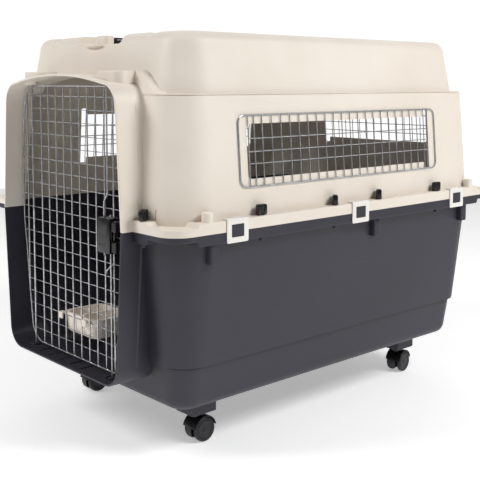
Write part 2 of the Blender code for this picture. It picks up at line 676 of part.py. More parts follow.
def build_upper_shell():
    low_z = SEAM_Z + GAP
    sections = [(low_z, BODY_WIDTH / 2, BODY_LENGTH / 2, BODY_CORNER)]
    sections += [wall_section(LEDGE_Z), wall_section(STEP_Z)]
    shell = loft("upper_shell", sections, CREAM_PLASTIC)
    roof = roof_sections(0.0, ROOF_Z, STEP_Z - WALL)
    add_solid(shell, loft("roof_dome", roof))
    add_solid(shell, loft("upper_flange", [flange_section(low_z), flange_section(LEDGE_Z)]))
    outline = tunnel_upper_outline(low_z, 0.0)
    add_solid(shell, tunnel_solid("upper_tunnel", outline, FRONT_Y, TUNNEL_REACH))
    panel_front = CRATE_MID_Y - ROOF_LENGTH / 2 - PANEL_PROUD
    add_solid(shell, outline_solid("front_panel", panel_outline(), TUNNEL_REACH / 2,
                                   along_y(panel_front + TUNNEL_REACH / 4)))
    for side, label in ((1, "latch"), (-1, "hinge")):
        x_range = sorted((side * SOCKET_BLOCK_INNER_X, side * (PANEL_TOP_HALF - GAP * 2)))
        y_range = (panel_front - SOCKET_BLOCK_REACH, panel_front + WALL * 2)
        z_range = (TUNNEL_CORNER_Z, PANEL_TOP_Z - GAP * 2)
        add_solid(shell, box(f"socket_block_{label}", x_range, y_range, z_range))
    for end in (-1, 1):
        for side in (-1, 1):
            y = CRATE_MID_Y + end * CORNER_BOSS_OFFSET
            x = side * CORNER_BOSS_X
            add_solid(shell, cylinder(f"corner_boss_{end}_{side}", (x, y, LEDGE_Z - WALL),
                                      (x, y, LEDGE_Z + CORNER_BOSS_HEIGHT), CORNER_BOSS_RADIUS, 14))

    cavity = [(SEAM_Z - WALL, BODY_WIDTH / 2 - WALL, BODY_LENGTH / 2 - WALL, BODY_CORNER - WALL),
              wall_section(LEDGE_Z, WALL), wall_section(STEP_Z - WALL, WALL)]
    lower_room = loft("upper_cavity", cavity)
    add_solid(lower_room, loft("roof_cavity", roof_sections(WALL, ROOF_Z - WALL, STEP_Z - WALL * 2)))
    recess_front, recess_back = recess_y_range()
    recess_half = RECESS_WIDTH / 2
    tub = box("recess_tub", (-recess_half - WALL, recess_half + WALL), (recess_front, recess_back + WALL),
              (ROOF_Z - RECESS_DEPTH - WALL, ROOF_Z + WALL))
    cut_solid(lower_room, tub)
    for side in (-1, 1):
        points = groove_outline(side * GROOVE_X, WALL)
        rib = outline_solid(f"groove_rib_{side}", points, OVERALL_LENGTH, along_y(CRATE_MID_Y))
        cut_solid(lower_room, rib)
    cut_solid(shell, lower_room)
    outline = tunnel_upper_outline(SEAM_Z - WALL, WALL)
    reach = TUNNEL_REACH + WALL
    cut_solid(shell, tunnel_solid("upper_passage", outline, FRONT_Y - WALL, reach))

    cut_solid(shell, box("handle_recess", (-recess_half, recess_half), (recess_front, recess_back),
                         (ROOF_Z - RECESS_DEPTH, ROOF_Z + WALL)))
    for side in (-1, 1):
        points = groove_outline(side * GROOVE_X, 0.0)
        groove = outline_solid(f"groove_{side}", points, OVERALL_LENGTH, along_y(CRATE_MID_Y))
        cut_solid(shell, groove)
    depth = BODY_WIDTH / 4
    wall_x = BODY_WIDTH / 2
    cut_window(shell, "right_window", WINDOW_MID + CRATE_MID_Y, WINDOW_LENGTH, 1, along_x(wall_x), depth)
    cut_window(shell, "left_window", CRATE_MID_Y - WINDOW_MID, WINDOW_LENGTH, -1, along_x(-wall_x), depth)
    rear_y = CRATE_MID_Y + BODY_LENGTH / 2
    cut_window(shell, "rear_window", 0.0, REAR_WINDOW_LENGTH, -1, along_y(rear_y), depth,
               REAR_WINDOW_LOW_Z, REAR_WINDOW_HIGH_Z)

    for front in (True, False):
        y_range = handle_boss_y(front)
        boss = box(f"handle_boss_{front}", (-BOSS_WIDTH / 2, BOSS_WIDTH / 2), y_range,
                   (ROOF_Z - RECESS_DEPTH - WALL / 2, ROOF_Z - GAP * 5))
        add_solid(shell, boss)
    pin_z = handle_pivot_z()
    front_boss = handle_boss_y(True)
    rear_boss = handle_boss_y(False)
    for label, face_y, inward in (("front", front_boss[1], -1), ("rear", rear_boss[0], 1)):
        start = (HANDLE_PIVOT_X, face_y + inward * BOSS_LENGTH / 2, pin_z)
        end = (HANDLE_PIVOT_X, face_y - inward * WALL, pin_z)
        cut_solid(shell, cylinder(f"handle_pin_bore_{label}", start, end,
                                  bore_radius(HANDLE_PIN_RADIUS), SMALL_STEPS))

    rod_y = hinge_rod_y()
    for label, x, y in (("hinge", HINGE_X, rod_y), ("latch", UPPER_ROD_X, latch_rod_y())):
        ceiling = tunnel_ceiling(x, WALL)
        add_solid(shell, cylinder(f"ceiling_pad_{label}", (x, y, ceiling - SOCKET_PAD_HEIGHT),
                                  (x, y, ceiling + WALL), SOCKET_PAD_RADIUS, 16))
    hinge_top = tunnel_ceiling(HINGE_X, WALL) - SOCKET_PAD_HEIGHT
    cut_solid(shell, cylinder("ceiling_bore", (HINGE_X, rod_y, hinge_top - WALL),
                              (HINGE_X, rod_y, hinge_top + HINGE_BORE_DEPTH),
                              bore_radius(HINGE_ROD_RADIUS), SMALL_STEPS))
    latch_top = tunnel_ceiling(UPPER_ROD_X, WALL)
    cut_solid(shell, keeper_slot("ceiling_keeper_slot", UPPER_ROD_X, latch_top - SOCKET_PAD_HEIGHT * 2,
                                 latch_top))
    for name, x, y, _turn in nut_places():
        cut_solid(shell, cylinder(f"high_stud_bore_{name}", (x, y, SEAM_Z - WALL), (x, y, LEDGE_Z + WALL),
                                  bore_radius(STUD_RADIUS), SMALL_STEPS))
    return shell


# Welded wire grilles
def wire_grille(name, columns, rows, ring, wire, thickness, place, material, pivot):
    """One flat lattice: columns(z) gives the upright positions at height z, place puts them in 3-D."""
    uprights = len(columns(rows[0]))
    bm = bmesh.new()
    bmesh.ops.create_grid(bm, x_segments=uprights + 1, y_segments=len(rows) + 1, size=1.0)
    bm.verts.ensure_lookup_table()
    ordered = sorted(bm.verts, key=lambda vert: (round(vert.co.y, 4), round(vert.co.x, 4)))
    heights = [rows[0] - ring] + list(rows) + [rows[-1] + ring]
    width = uprights + 2
    border = set()
    for index, vert in enumerate(ordered):
        row, column = divmod(index, width)
        z = heights[row]
        inner = columns(min(max(z, rows[0]), rows[-1]))
        across = [inner[0] - ring] + inner + [inner[-1] + ring]
        vert.co = place(across[column], z)
        if row in (0, len(heights) - 1) or column in (0, width - 1):
            border.add(vert)
    cells = [face for face in bm.faces if not border.intersection(face.verts)]
    bmesh.ops.remove_doubles(bm, verts=bm.verts, dist=0.00005)
    cells = [face for face in cells if face.is_valid]
    bmesh.ops.inset_individual(bm, faces=cells, thickness=wire / 2, use_even_offset=True)
    bmesh.ops.delete(bm, geom=cells, context="FACES_ONLY")
    grille = place_mesh(name, bm, material, pivot)
    solidify = grille.modifiers.new("Wire thickness", "SOLIDIFY")
    solidify.thickness = thickness
    solidify.offset = 0.0
    return grille


def net_columns(mid, length, flip):
    """Upright wires of a window net, with the closer pair at one end as welded."""
    uprights = [NET_FIRST_UPRIGHT - length / 2]
    position = uprights[0] + NET_PITCH
    while position < length / 2 - NET_PITCH / 4:
        uprights.append(position)
        position += NET_PITCH
    uprights.append(length / 2 + NET_LAST_UPRIGHT)
    if flip:
        uprights = [-value for value in reversed(uprights)]
    outer = length / 2 + NET_MARGIN - NET_FRAME_WIRE
    return [mid - outer] + [mid + value for value in uprights] + [mid + outer]


def net_rows(low_z, high_z, raised=0.0):
    """Heights of a net's lengthwise wires, from its bottom wire to its top wire."""
    edge = NET_FRAME_WIRE - NET_WIRE / 2
    rows = [z + raised for z in (NET_FIRST_ROW_Z, NET_SECOND_ROW_Z, NET_THIRD_ROW_Z)]
    return [low_z + edge] + rows + [high_z - edge]


def build_side_net(side, label):
    mid = CRATE_MID_Y + side * SIDE_NET_MID
    columns = net_columns(mid, SIDE_NET_LENGTH, side < 0)
    ring = NET_FRAME_WIRE - NET_WIRE / 2
    stand_off = GAP + NET_THICKNESS / 2 / math.cos(UPPER_DRAFT)

    def place(across, z):
        return Vector((side * (wall_half_x(z) + stand_off), across, z))

    rows = net_rows(NET_LOW_Z, NET_HIGH_Z)
    return wire_grille(f"window_net_{label}", lambda z: columns, rows, ring, NET_WIRE,
                       NET_THICKNESS, place, STEEL_WIRE, (0.0, 0.0, 0.0))


def build_rear_net():
    columns = net_columns(0.0, REAR_WINDOW_LENGTH, True)
    ring = NET_FRAME_WIRE - NET_WIRE / 2
    stand_off = GAP + NET_THICKNESS / 2 / math.cos(UPPER_DRAFT)

    def place(across, z):
        return Vector((across, CRATE_MID_Y + wall_half_y(z) + stand_off, z))

    rows = net_rows(REAR_NET_LOW_Z, REAR_NET_HIGH_Z, REAR_NET_RAISE)
    return wire_grille("window_net_rear", lambda z: columns, rows, ring, NET_WIRE,
                       NET_THICKNESS, place, STEEL_WIRE, (0.0, 0.0, 0.0))


# Door
def door_half_width(z):
    """Half width of the door's outer wire, from its outline points."""
    for (high_z, high_half), (low_z, low_half) in zip(DOOR_OUTLINE, DOOR_OUTLINE[1:]):
        if low_z <= z <= high_z:
            share = (z - low_z) / (high_z - low_z)
            return low_half + share * (high_half - low_half)
    return DOOR_OUTLINE[0][1] if z > DOOR_OUTLINE[0][0] else DOOR_OUTLINE[-1][1]


def door_columns(z):
    half = door_half_width(z)
    inner = [DOOR_EDGE_COLUMN_X]
    inner += [DOOR_FIRST_COLUMN_X + DOOR_COLUMN_PITCH * index for index in range(DOOR_COLUMNS)]
    limit = half - DOOR_FRAME_WIRE * 1.5
    columns = [-half]
    for x in inner:
        if abs(x) > limit:
            x = math.copysign(half, x)
        columns.append(x)
    return columns + [half]


def door_rows():
    rows = [DOOR_TOP_Z] + [DOOR_FIRST_ROW_Z - DOOR_ROW_PITCH * index for index in range(DOOR_ROWS)]
    return list(reversed(rows + [DOOR_BOTTOM_Z]))


def hinge_rod_y():
    return DOOR_PLANE_Y - DOOR_THICKNESS / 2 - GAP - HINGE_ROD_RADIUS


def latch_rod_y():
    return DOOR_PLANE_Y - DOOR_THICKNESS / 2 - GAP * 4 - LATCH_ROD_RADIUS * 2


def door_pivot():
    return (HINGE_X, hinge_rod_y(), 0.0)


def build_door():
    def place(across, z):
        return Vector((across, DOOR_PLANE_Y, z))

    ring = DOOR_FRAME_WIRE - DOOR_WIRE
    wire_grille("door_grille", door_columns, door_rows(), ring, DOOR_WIRE, DOOR_THICKNESS, place,
                STEEL_WIRE, door_pivot())
    low = TUNNEL_FLOOR_Z + WALL + SOCKET_PAD_HEIGHT - HINGE_BORE_DEPTH + GAP
    high = tunnel_ceiling(HINGE_X, WALL) - SOCKET_PAD_HEIGHT + HINGE_BORE_DEPTH - GAP
    rod_y = hinge_rod_y()
    cylinder("door_hinge_rod", (HINGE_X, rod_y, low), (HINGE_X, rod_y, high), HINGE_ROD_RADIUS,
             SMALL_STEPS, STEEL_WIRE, door_pivot())


# Door latch
def bent_rod(name, points, radius, material, pivot):
    """Round wire through the given points."""
    curve = bpy.data.curves.new(name, "CURVE")
    curve.dimensions = "3D"
    curve.bevel_depth = radius
    curve.bevel_resolution = 2
    curve.use_fill_caps = True
    spline = curve.splines.new("POLY")
    spline.points.add(len(points) - 1)
    for point, place in zip(spline.points, points):
        point.co = (*(Vector(place) - Vector(pivot)), 1.0)
    curve.materials.append(material)
    rod = bpy.data.objects.new(name, curve)
    rod.location = pivot
    PARTS.objects.link(rod)
    return rod


def latch_mid_z():
    return LATCH_LOW_Z + LATCH_HEIGHT / 2


def latch_depth_range():
    back = DOOR_PLANE_Y - DOOR_THICKNESS / 2 - GAP
    return back - LATCH_DEPTH, back


def build_latch():
    front_y, back_y = latch_depth_range()
    high_z = LATCH_LOW_Z + LATCH_HEIGHT
    right_x = LATCH_X + LATCH_WIDTH
    pivot = door_pivot()
    rod_y = latch_rod_y()
    housing = box("latch_housing", (LATCH_X, right_x), (front_y, back_y), (LATCH_LOW_Z, high_z),
                  BLACK_PLASTIC, pivot)
    for label, end in (("upper", 1), ("lower", -1)):
        z_range = sorted((latch_mid_z() + end * LATCH_WALL / 2,
                          latch_mid_z() + end * (LATCH_HEIGHT / 2 - LATCH_WALL)))
        cut_solid(housing, box(f"latch_hollow_{label}", (LATCH_X + LATCH_WALL, right_x - LATCH_WALL),
                               (front_y + LATCH_WALL, back_y + LATCH_WALL), z_range))
    rod_hole = bore_radius(LATCH_ROD_RADIUS, SMALL_STEPS, LATCH_ROD_GAP)
    for label, x in (("upper", UPPER_ROD_LEG_X), ("lower", LOWER_ROD_X)):
        cut_solid(housing, cylinder(f"latch_hole_{label}", (x, rod_y, LATCH_LOW_Z - WALL),
                                    (x, rod_y, high_z + WALL), rod_hole, SMALL_STEPS))
    arm_y = (front_y + LATCH_WALL + GAP * 2, back_y - GAP * 2)
    slot_margin = GAP * 3
    slot_low = LATCH_LOW_Z + LATCH_WALL + GAP
    slot_high = high_z - LATCH_WALL - GAP
    cut_solid(housing, box("latch_slot", (right_x - LATCH_WALL * 2, right_x + WALL),
                           (arm_y[0] - slot_margin, back_y + LATCH_WALL), (slot_low, slot_high)))
    plate_y = DOOR_PLANE_Y + DOOR_THICKNESS / 2 + GAP
    box("latch_back_plate", (LATCH_X, right_x), (plate_y, plate_y + LATCH_BACK_DEPTH), (LATCH_LOW_Z, high_z),
        BLACK_PLASTIC, pivot)
    build_latch_slider("upper", 1, arm_y)
    build_latch_slider("lower", -1, arm_y)

    top_z = tunnel_ceiling(UPPER_ROD_X, WALL) - ROD_END_GAP
    bent_rod("latch_rod_upper", [(UPPER_ROD_X, rod_y, top_z), (UPPER_ROD_X, rod_y, ROD_JOG_HIGH_Z),
                                 (UPPER_ROD_LEG_X, rod_y, ROD_JOG_LOW_Z),
                                 (UPPER_ROD_LEG_X, rod_y, LATCH_LOW_Z - LATCH_ROD_POKE)],
             LATCH_ROD_RADIUS, STEEL_WIRE, pivot)
    bottom_z = TUNNEL_FLOOR_Z + WALL + ROD_END_GAP
    bent_rod("latch_rod_lower", [(LOWER_ROD_X, rod_y, high_z + LATCH_ROD_POKE),
                                 (LOWER_ROD_X, rod_y, bottom_z)], LATCH_ROD_RADIUS, STEEL_WIRE, pivot)


def build_latch_slider(label, end, arm_y):
    """Finger grip beside the housing with an arm that carries its rod inside."""
    pivot = door_pivot()
    grip_x = LATCH_X + LATCH_WIDTH + GAP
    middle = latch_mid_z()
    outer_z = middle + end * (LATCH_HEIGHT / 2 - LATCH_WALL - GAP * 2)
    grip_z = sorted((outer_z, middle + end * (LATCH_TRAVEL + GRIP_CLEARANCE)))
    arm_z = sorted((outer_z - end * GAP, outer_z - end * (ARM_HEIGHT + GAP)))
    arm_left = UPPER_ROD_LEG_X - LATCH_ROD_RADIUS * 2.4 if end > 0 else SPRING_X - SPRING_RADIUS
    front_y, back_y = latch_depth_range()
    grip_y = (front_y + LATCH_WALL, back_y - GAP)
    slider = box(f"latch_slider_{label}", (grip_x, grip_x + GRIP_WIDTH), grip_y, grip_z,
                 BLACK_PLASTIC, pivot)
    add_solid(slider, box(f"latch_arm_{label}", (arm_left, grip_x + LATCH_WALL), arm_y, arm_z))
    rod_y = latch_rod_y()
    holes = [(LOWER_ROD_X, LATCH_ROD_GAP if end > 0 else GAP)]
    if end > 0:
        holes.append((UPPER_ROD_LEG_X, GAP))
    for index, (x, clearance) in enumerate(holes):
        radius = bore_radius(LATCH_ROD_RADIUS, SMALL_STEPS, clearance)
        cut_solid(slider, cylinder(f"arm_hole_{label}_{index}", (x, rod_y, arm_z[0] - WALL),
                                   (x, rod_y, arm_z[1] + WALL), radius, SMALL_STEPS))
    spring_end = arm_z[0] if end > 0 else arm_z[1]
    cylinder(f"latch_spring_{label}", (SPRING_X, rod_y, middle + end * (LATCH_WALL / 2 + GAP)),
             (SPRING_X, rod_y, spring_end - end * GAP), SPRING_RADIUS, SMALL_STEPS, STEEL_WIRE, pivot)


# Side clips
def build_clips():
    labels = {1: "right", -1: "left"}
    flange_x = FLANGE_WIDTH / 2
    counts = {1: 0, -1: 0}
    for side, y in side_places((-CLIP_PITCH, 0.0, CLIP_PITCH)):
        counts[side] += 1
        inner = flange_x + GAP
        outer = inner + CLIP_THICKNESS
        top_z = LEDGE_Z + GAP
        y_range = (y - CLIP_WIDTH / 2, y + CLIP_WIDTH / 2)
        pivot = (side * (inner - CLIP_TOP_DEPTH), y, top_z)
        plate = sorted((side * inner, side * outer))
        clip = box(f"side_clip_{labels[side]}_{counts[side]}", plate, y_range,
                   (CLIP_LOW_Z, top_z + CLIP_THICKNESS), WHITE_PLASTIC, pivot)
        top = sorted((side * (inner - CLIP_TOP_DEPTH), side * (inner + CLIP_THICKNESS / 2)))
        top_plate = box(f"clip_top_{side}_{counts[side]}", top, y_range, (top_z, top_z + CLIP_THICKNESS))
        add_solid(clip, top_plate)
        window_y = (y - CLIP_WINDOW_WIDTH / 2, y + CLIP_WINDOW_WIDTH / 2)
        through = sorted((side * (inner - WALL), side * (outer + WALL)))
        window_z = (CLIP_WINDOW_LOW_Z, CLIP_WINDOW_LOW_Z + CLIP_WINDOW_HEIGHT)
        cut_solid(clip, box(f"clip_window_{side}_{counts[side]}", through, window_y, window_z))


# Wing nuts and studs
def build_nuts():
    for name, x, y, turn in nut_places():
        half_straight = (NUT_LENGTH - NUT_WIDTH) / 2
        points = arc_points((half_straight, 0.0), NUT_WIDTH / 2, -90, 90, 4)
        points += arc_points((-half_straight, 0.0), NUT_WIDTH / 2, 90, 270, 4)
        low_z = LEDGE_Z + GAP
        place = (Matrix.Translation((x, y, low_z + NUT_HEIGHT / 2))
                 @ Matrix.Rotation(math.radians(turn), 4, "Z"))
        nut = outline_solid(f"wing_nut_{name}", points, NUT_HEIGHT, place, BLACK_PLASTIC, (x, y, low_z))
        cut_solid(nut, cylinder(f"nut_bore_{name}", (x, y, low_z - WALL), (x, y, low_z + NUT_BORE_DEPTH),
                                bore_radius(STUD_RADIUS), SMALL_STEPS))
        low = (x, y, SEAM_Z - STUD_DEPTH + GAP)
        high = (x, y, low_z + NUT_BORE_DEPTH - GAP)
        cylinder(f"stud_{name}", low, high, STUD_RADIUS, SMALL_STEPS, STEEL_WIRE, low)


# Casters
def turned_ring(name, profile, steps, material):
    """Ring turned about its own Z axis from a closed profile of (radius, z) points."""
    mesh = bpy.data.meshes.new(name)
    count = len(profile)
    edges = [(index, (index + 1) % count) for index in range(count)]
    mesh.from_pydata([(radius, 0.0, z) for radius, z in profile], edges, [])
    mesh.materials.append(material)
    ring = bpy.data.objects.new(name, mesh)
    PARTS.objects.link(ring)
    screw = ring.modifiers.new("Turn", "SCREW")
    screw.steps = steps
    screw.render_steps = steps
    screw.use_merge_vertices = True
    screw.merge_threshold = 0.00005
    screw.use_normal_calculate = True
    return ring


def build_casters():
    for name, end, x, stem_y in caster_places():
        lean = CASTER_REAR_TURN if end > 0 else CASTER_FRONT_TURN
        swivel = bpy.data.objects.new(f"swivel_{name}", None)
        swivel.location = (x, stem_y, 0.0)
        swivel.rotation_euler = (0.0, 0.0, lean)
        PARTS.objects.link(swivel)
        trail = CASTER_TRAIL
        hood = build_hood(name, trail)
        hood.parent = swivel
        for modifier in hood.modifiers:
            modifier.object.parent = swivel
        reach = WEB_WIDTH / 2 + GAP + WHEEL_WIDTH
        axle = cylinder(f"axle_{name}", (-reach, trail, WHEEL_RADIUS), (reach, trail, WHEEL_RADIUS),
                        AXLE_RADIUS, SMALL_STEPS, STEEL_WIRE, (0.0, trail, WHEEL_RADIUS))
        axle.parent = swivel
        half = WHEEL_WIDTH / 2
        bore = bore_radius(AXLE_RADIUS, ROUND_STEPS)
        profile = [(WHEEL_RADIUS - WHEEL_EDGE, half), (WHEEL_RADIUS, half - WHEEL_EDGE),
                   (WHEEL_RADIUS, WHEEL_EDGE - half), (WHEEL_RADIUS - WHEEL_EDGE, -half),
                   (bore, -half), (bore, half)]
        for side, label in ((1, "a"), (-1, "b")):
            wheel = turned_ring(f"wheel_{name}_{label}", profile, ROUND_STEPS, TYRE_GREY)
            wheel.location = (side * (WEB_WIDTH / 2 + GAP + half), trail, WHEEL_RADIUS)
            wheel.rotation_euler = (0.0, math.radians(90), 0.0)
            wheel.parent = swivel


def build_hood(name, trail):
    """Caster body: a web between the wheels, fenders over them, a neck and a stem."""
    outer = WHEEL_RADIUS + HOOD_GAP + HOOD_WALL
    half = WEB_WIDTH / 2 + WHEEL_WIDTH + GAP * 2
    centre_z = WHEEL_RADIUS
    hood = cylinder(f"caster_hood_{name}", (-half, trail, centre_z), (half, trail, centre_z), outer,
                    ROUND_STEPS, BLACK_PLASTIC)
    for side in (-1, 1):
        bay = sorted((side * WEB_WIDTH / 2, side * (half + WALL)))
        cut_solid(hood, cylinder(f"bay_{name}_{side}", (bay[0], trail, centre_z), (bay[1], trail, centre_z),
                                 WHEEL_RADIUS + HOOD_GAP, ROUND_STEPS))
        cut_solid(hood, box(f"fender_cut_{name}_{side}", bay, (trail - outer * 2, trail + outer * 2),
                            (-WALL, centre_z + HOOD_SIDE_LOW)))
    cut_solid(hood, box(f"web_cut_{name}", (-half * 2, half * 2), (trail - outer * 2, trail + outer * 2),
                        (-WALL, WEB_BOTTOM_Z)))
    cut_solid(hood, cylinder(f"axle_bore_{name}", (-half * 2, trail, centre_z), (half * 2, trail, centre_z),
                             bore_radius(AXLE_RADIUS), SMALL_STEPS))
    neck_low = centre_z + WHEEL_RADIUS / 2
    neck_high = SOCKET_Z - GAP * 4
    add_solid(hood, cylinder(f"neck_{name}", (0.0, 0.0, neck_low), (0.0, 0.0, neck_high), NECK_RADIUS, 14))
    collar_low = centre_z + outer - HOOD_WALL
    add_solid(hood, cylinder(f"collar_{name}", (0.0, 0.0, collar_low), (0.0, 0.0, SOCKET_Z - GAP),
                             COLLAR_RADIUS, 14))
    stem_top = SOCKET_Z + STEM_LENGTH - GAP
    add_solid(hood, cylinder(f"stem_{name}", (0.0, 0.0, neck_high - WALL), (0.0, 0.0, stem_top), STEM_RADIUS,
                             SMALL_STEPS))
    return hood


# Feeding bowl
def build_bowl():
    front_y = DOOR_PLANE_Y + DOOR_THICKNESS / 2 + GAP
    mid_x = BOWL_LEFT_X + BOWL_WIDTH / 2
    mid_y = front_y + BOWL_DEPTH / 2
    high_z = BOWL_LOW_Z + BOWL_HEIGHT
    place = Matrix.Translation((0.0, 0.0, BOWL_LOW_Z + BOWL_HEIGHT / 2))
    plan = rounded_rectangle(BOWL_WIDTH / 2, BOWL_DEPTH / 2, BOWL_CORNER, (mid_x, mid_y), 4)
    bowl = outline_solid("feeding_bowl", plan, BOWL_HEIGHT, place, CREAM_PLASTIC, door_pivot())
    cup_half = (BOWL_WIDTH - BOWL_WALL * 3) / 4
    for side in (-1, 1):
        cup_x = mid_x + side * (cup_half + BOWL_WALL / 2)
        cup_corner = BOWL_CORNER - BOWL_WALL
        cup = rounded_rectangle(cup_half, BOWL_DEPTH / 2 - BOWL_WALL, cup_corner, (cup_x, mid_y), 4)
        lift = Matrix.Translation((0.0, 0.0, high_z + BOWL_WALL))
        cut_solid(bowl, outline_solid(f"bowl_cup_{side}", cup, BOWL_HEIGHT * 2, lift))
    hook_z = door_rows()[DOOR_ROWS - BOWL_HOOK_ROW] + DOOR_WIRE / 2 + GAP
    hook_front = DOOR_PLANE_Y - DOOR_THICKNESS / 2 - GAP - BOWL_HOOK_THICKNESS
    for index, x in enumerate(BOWL_HOOK_X):
        x_range = (x - BOWL_HOOK_WIDTH / 2, x + BOWL_HOOK_WIDTH / 2)
        hook = box(f"hook_top_{index}", x_range, (hook_front, front_y + BOWL_WALL),
                   (hook_z, hook_z + BOWL_HOOK_THICKNESS))
        drop = box(f"hook_drop_{index}", x_range, (hook_front, hook_front + BOWL_HOOK_THICKNESS),
                   (hook_z - BOWL_HOOK_DROP, hook_z + BOWL_HOOK_THICKNESS))
        add_solid(bowl, hook)
        add_solid(bowl, drop)
    return bowl


# Carry handle
def handle_boss_y(front):
    """Front and back faces of one of the two bosses that hold the handle."""
    roof_front = CRATE_MID_Y - ROOF_LENGTH / 2 + ROOF_LEAN
    first = roof_front + BOSS_SETBACK
    if front:
        return first, first + BOSS_LENGTH
    start = first + BOSS_LENGTH + HANDLE_LENGTH + GAP * 2
    return start, start + BOSS_LENGTH


def handle_pivot_z():
    return ROOF_Z - RECESS_DEPTH + HANDLE_PIVOT_LIFT


def build_handle():
    front = handle_boss_y(True)[1] + GAP
    back = front + HANDLE_LENGTH
    pivot_z = handle_pivot_z()
    pivot = (HANDLE_PIVOT_X, (front + back) / 2, pivot_z)
    grip_x = HANDLE_PIVOT_X + HANDLE_ARM
    grip = cylinder("carry_handle", (grip_x, front, pivot_z), (grip_x, back, pivot_z),
                    HANDLE_GRIP_RADIUS, 12, BLACK_PLASTIC, pivot)
    thickness = HANDLE_GRIP_RADIUS * 1.5
    for label, y_range in (("front", (front, front + thickness)), ("rear", (back - thickness, back))):
        x_range = (HANDLE_PIVOT_X - HANDLE_HEEL, grip_x)
        z_range = (pivot_z - HANDLE_GRIP_RADIUS, pivot_z + HANDLE_GRIP_RADIUS)
        add_solid(grip, box(f"handle_leg_{label}", x_range, y_range, z_range))
        start = y_range[0] if label == "front" else y_range[1]
        away = -1 if label == "front" else 1
        pin = cylinder(f"handle_pin_{label}", (HANDLE_PIVOT_X, start - away * thickness / 2, pivot_z),
                       (HANDLE_PIVOT_X, start + away * (BOSS_LENGTH / 2 - GAP), pivot_z),
                       HANDLE_PIN_RADIUS, SMALL_STEPS)
        add_solid(grip, pin)
    return grip


def main():
    build_lower_shell()
    build_upper_shell()
    build_side_net(1, "right")
    build_side_net(-1, "left")
    build_rear_net()
    build_door()
    build_latch()
    build_clips()
    build_nuts()
    build_casters()
    build_bowl()
    build_handle()


main()
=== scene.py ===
"""Pet travel crate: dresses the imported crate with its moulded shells, wire, clips and casters.

Metres throughout, in the crate's own frame: Z up, the door looks along -Y, right is +X.
"""
import math

import bmesh
import bpy
from mathutils import Matrix, Vector


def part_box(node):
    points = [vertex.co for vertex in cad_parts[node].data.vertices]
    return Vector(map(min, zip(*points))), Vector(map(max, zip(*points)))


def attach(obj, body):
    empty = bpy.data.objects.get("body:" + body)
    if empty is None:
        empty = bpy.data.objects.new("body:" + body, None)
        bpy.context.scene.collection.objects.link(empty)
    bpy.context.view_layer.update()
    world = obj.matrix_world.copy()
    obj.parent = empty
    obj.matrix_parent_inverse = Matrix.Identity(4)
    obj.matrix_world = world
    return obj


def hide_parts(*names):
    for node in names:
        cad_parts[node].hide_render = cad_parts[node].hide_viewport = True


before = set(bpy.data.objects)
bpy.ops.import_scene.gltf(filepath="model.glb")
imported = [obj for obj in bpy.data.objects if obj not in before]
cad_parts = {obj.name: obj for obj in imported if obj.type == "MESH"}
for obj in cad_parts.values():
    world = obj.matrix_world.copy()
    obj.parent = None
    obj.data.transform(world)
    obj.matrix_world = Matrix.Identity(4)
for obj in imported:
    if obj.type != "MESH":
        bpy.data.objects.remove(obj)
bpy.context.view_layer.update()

bl_info = {
    "name": "Pet travel crate",
    "version": (1, 0, 0),
    "blender": (4, 5, 0),
    "location": "3D View > Sidebar > Crate",
    "description": "Moulded shells, wire door, nets, clips, nuts and casters of a travel crate",
    "category": "Object",
}

# The crate's own sizes
MID_Y = 0.0125
FRONT_Y = -0.510
WALL = 0.004
GAP = 0.0003
BODY_HALF_X = 0.3255
BODY_HALF_Y = 0.4775
BASE_Z = 0.100
BAND_Z = 0.190
BAND_STEP = 0.008
BAND_GROOVE = 0.003
BASE_EDGE = 0.025
FLANGE_LOW_Z = 0.430
SEAM_Z = 0.450
LEDGE_Z = 0.472
STEP_Z = 0.702
ROOF_Z = 0.820
FLANGE_HALF_X = 0.345
FLANGE_HALF_Y = 0.4975
FLANGE_CORNER = 0.045
DIP_X = 0.262
DIP_Y = 0.436
DIP_RUN = 0.006
LOWER_SLOPE = math.tan(math.radians(6.4))
UPPER_SLOPE = math.tan(math.radians(4.35))
ROOF_HALF_X = 0.298
ROOF_HALF_Y = 0.443
ROOF_CORNER = 0.085
ROOF_EDGE = 0.028
ROOF_LEAN = 0.0135
GROOVE_X = 0.170
GROOVE_HALF = 0.023
GROOVE_DEPTH = 0.012
RECESS_HALF = 0.085
RECESS_DEPTH = 0.020
RECESS_BACK_Y = -0.1905
TUNNEL_REACH = 0.110
TUNNEL_CORNER = 0.045
TUNNEL_FLOOR_Z = 0.150
TUNNEL_SEAM_HALF = 0.226
UPPER_TUNNEL_NARROWS = 0.015
UPPER_TUNNEL_RISE = 0.229
LOWER_TUNNEL_NARROWS = 0.018
LOWER_TUNNEL_RISE = 0.255
ARCH_FOOT_X = 0.166
ARCH_FOOT_Z = 0.724
ARCH_RISE = 0.0165
SOCKET_PAD_RADIUS = 0.013
ROD_SLOT_HALF = 0.0028
PANEL_TOP_Z = 0.746
PANEL_TOP_HALF = 0.181
PANEL_FOOT_HALF = 0.255
WINDOW_LOW_Z = 0.540
WINDOW_HIGH_Z = 0.645
WINDOW_HALF = 0.282
WINDOW_MID = -0.0145
REAR_WINDOW_HALF = 0.175
REAR_WINDOW_LOW_Z = 0.568
REAR_WINDOW_HIGH_Z = 0.655
NET_LOW_Z = 0.5237
NET_HIGH_Z = 0.6632
REAR_NET_LOW_Z = 0.5517
REAR_NET_HIGH_Z = 0.6732
REAR_NET_RAISE = 0.020
SIDE_NET_HALF = 0.30925
SIDE_NET_MID = -0.01125
REAR_NET_HALF = 0.2125
NET_ROWS = (0.569, 0.592, 0.617)
NET_FIRST_UPRIGHTS = (0.026, 0.042, 0.063)
NET_LAST_UPRIGHT = 0.0295
BOSS_X = 0.335
BOSS_OFFSET = 0.4115
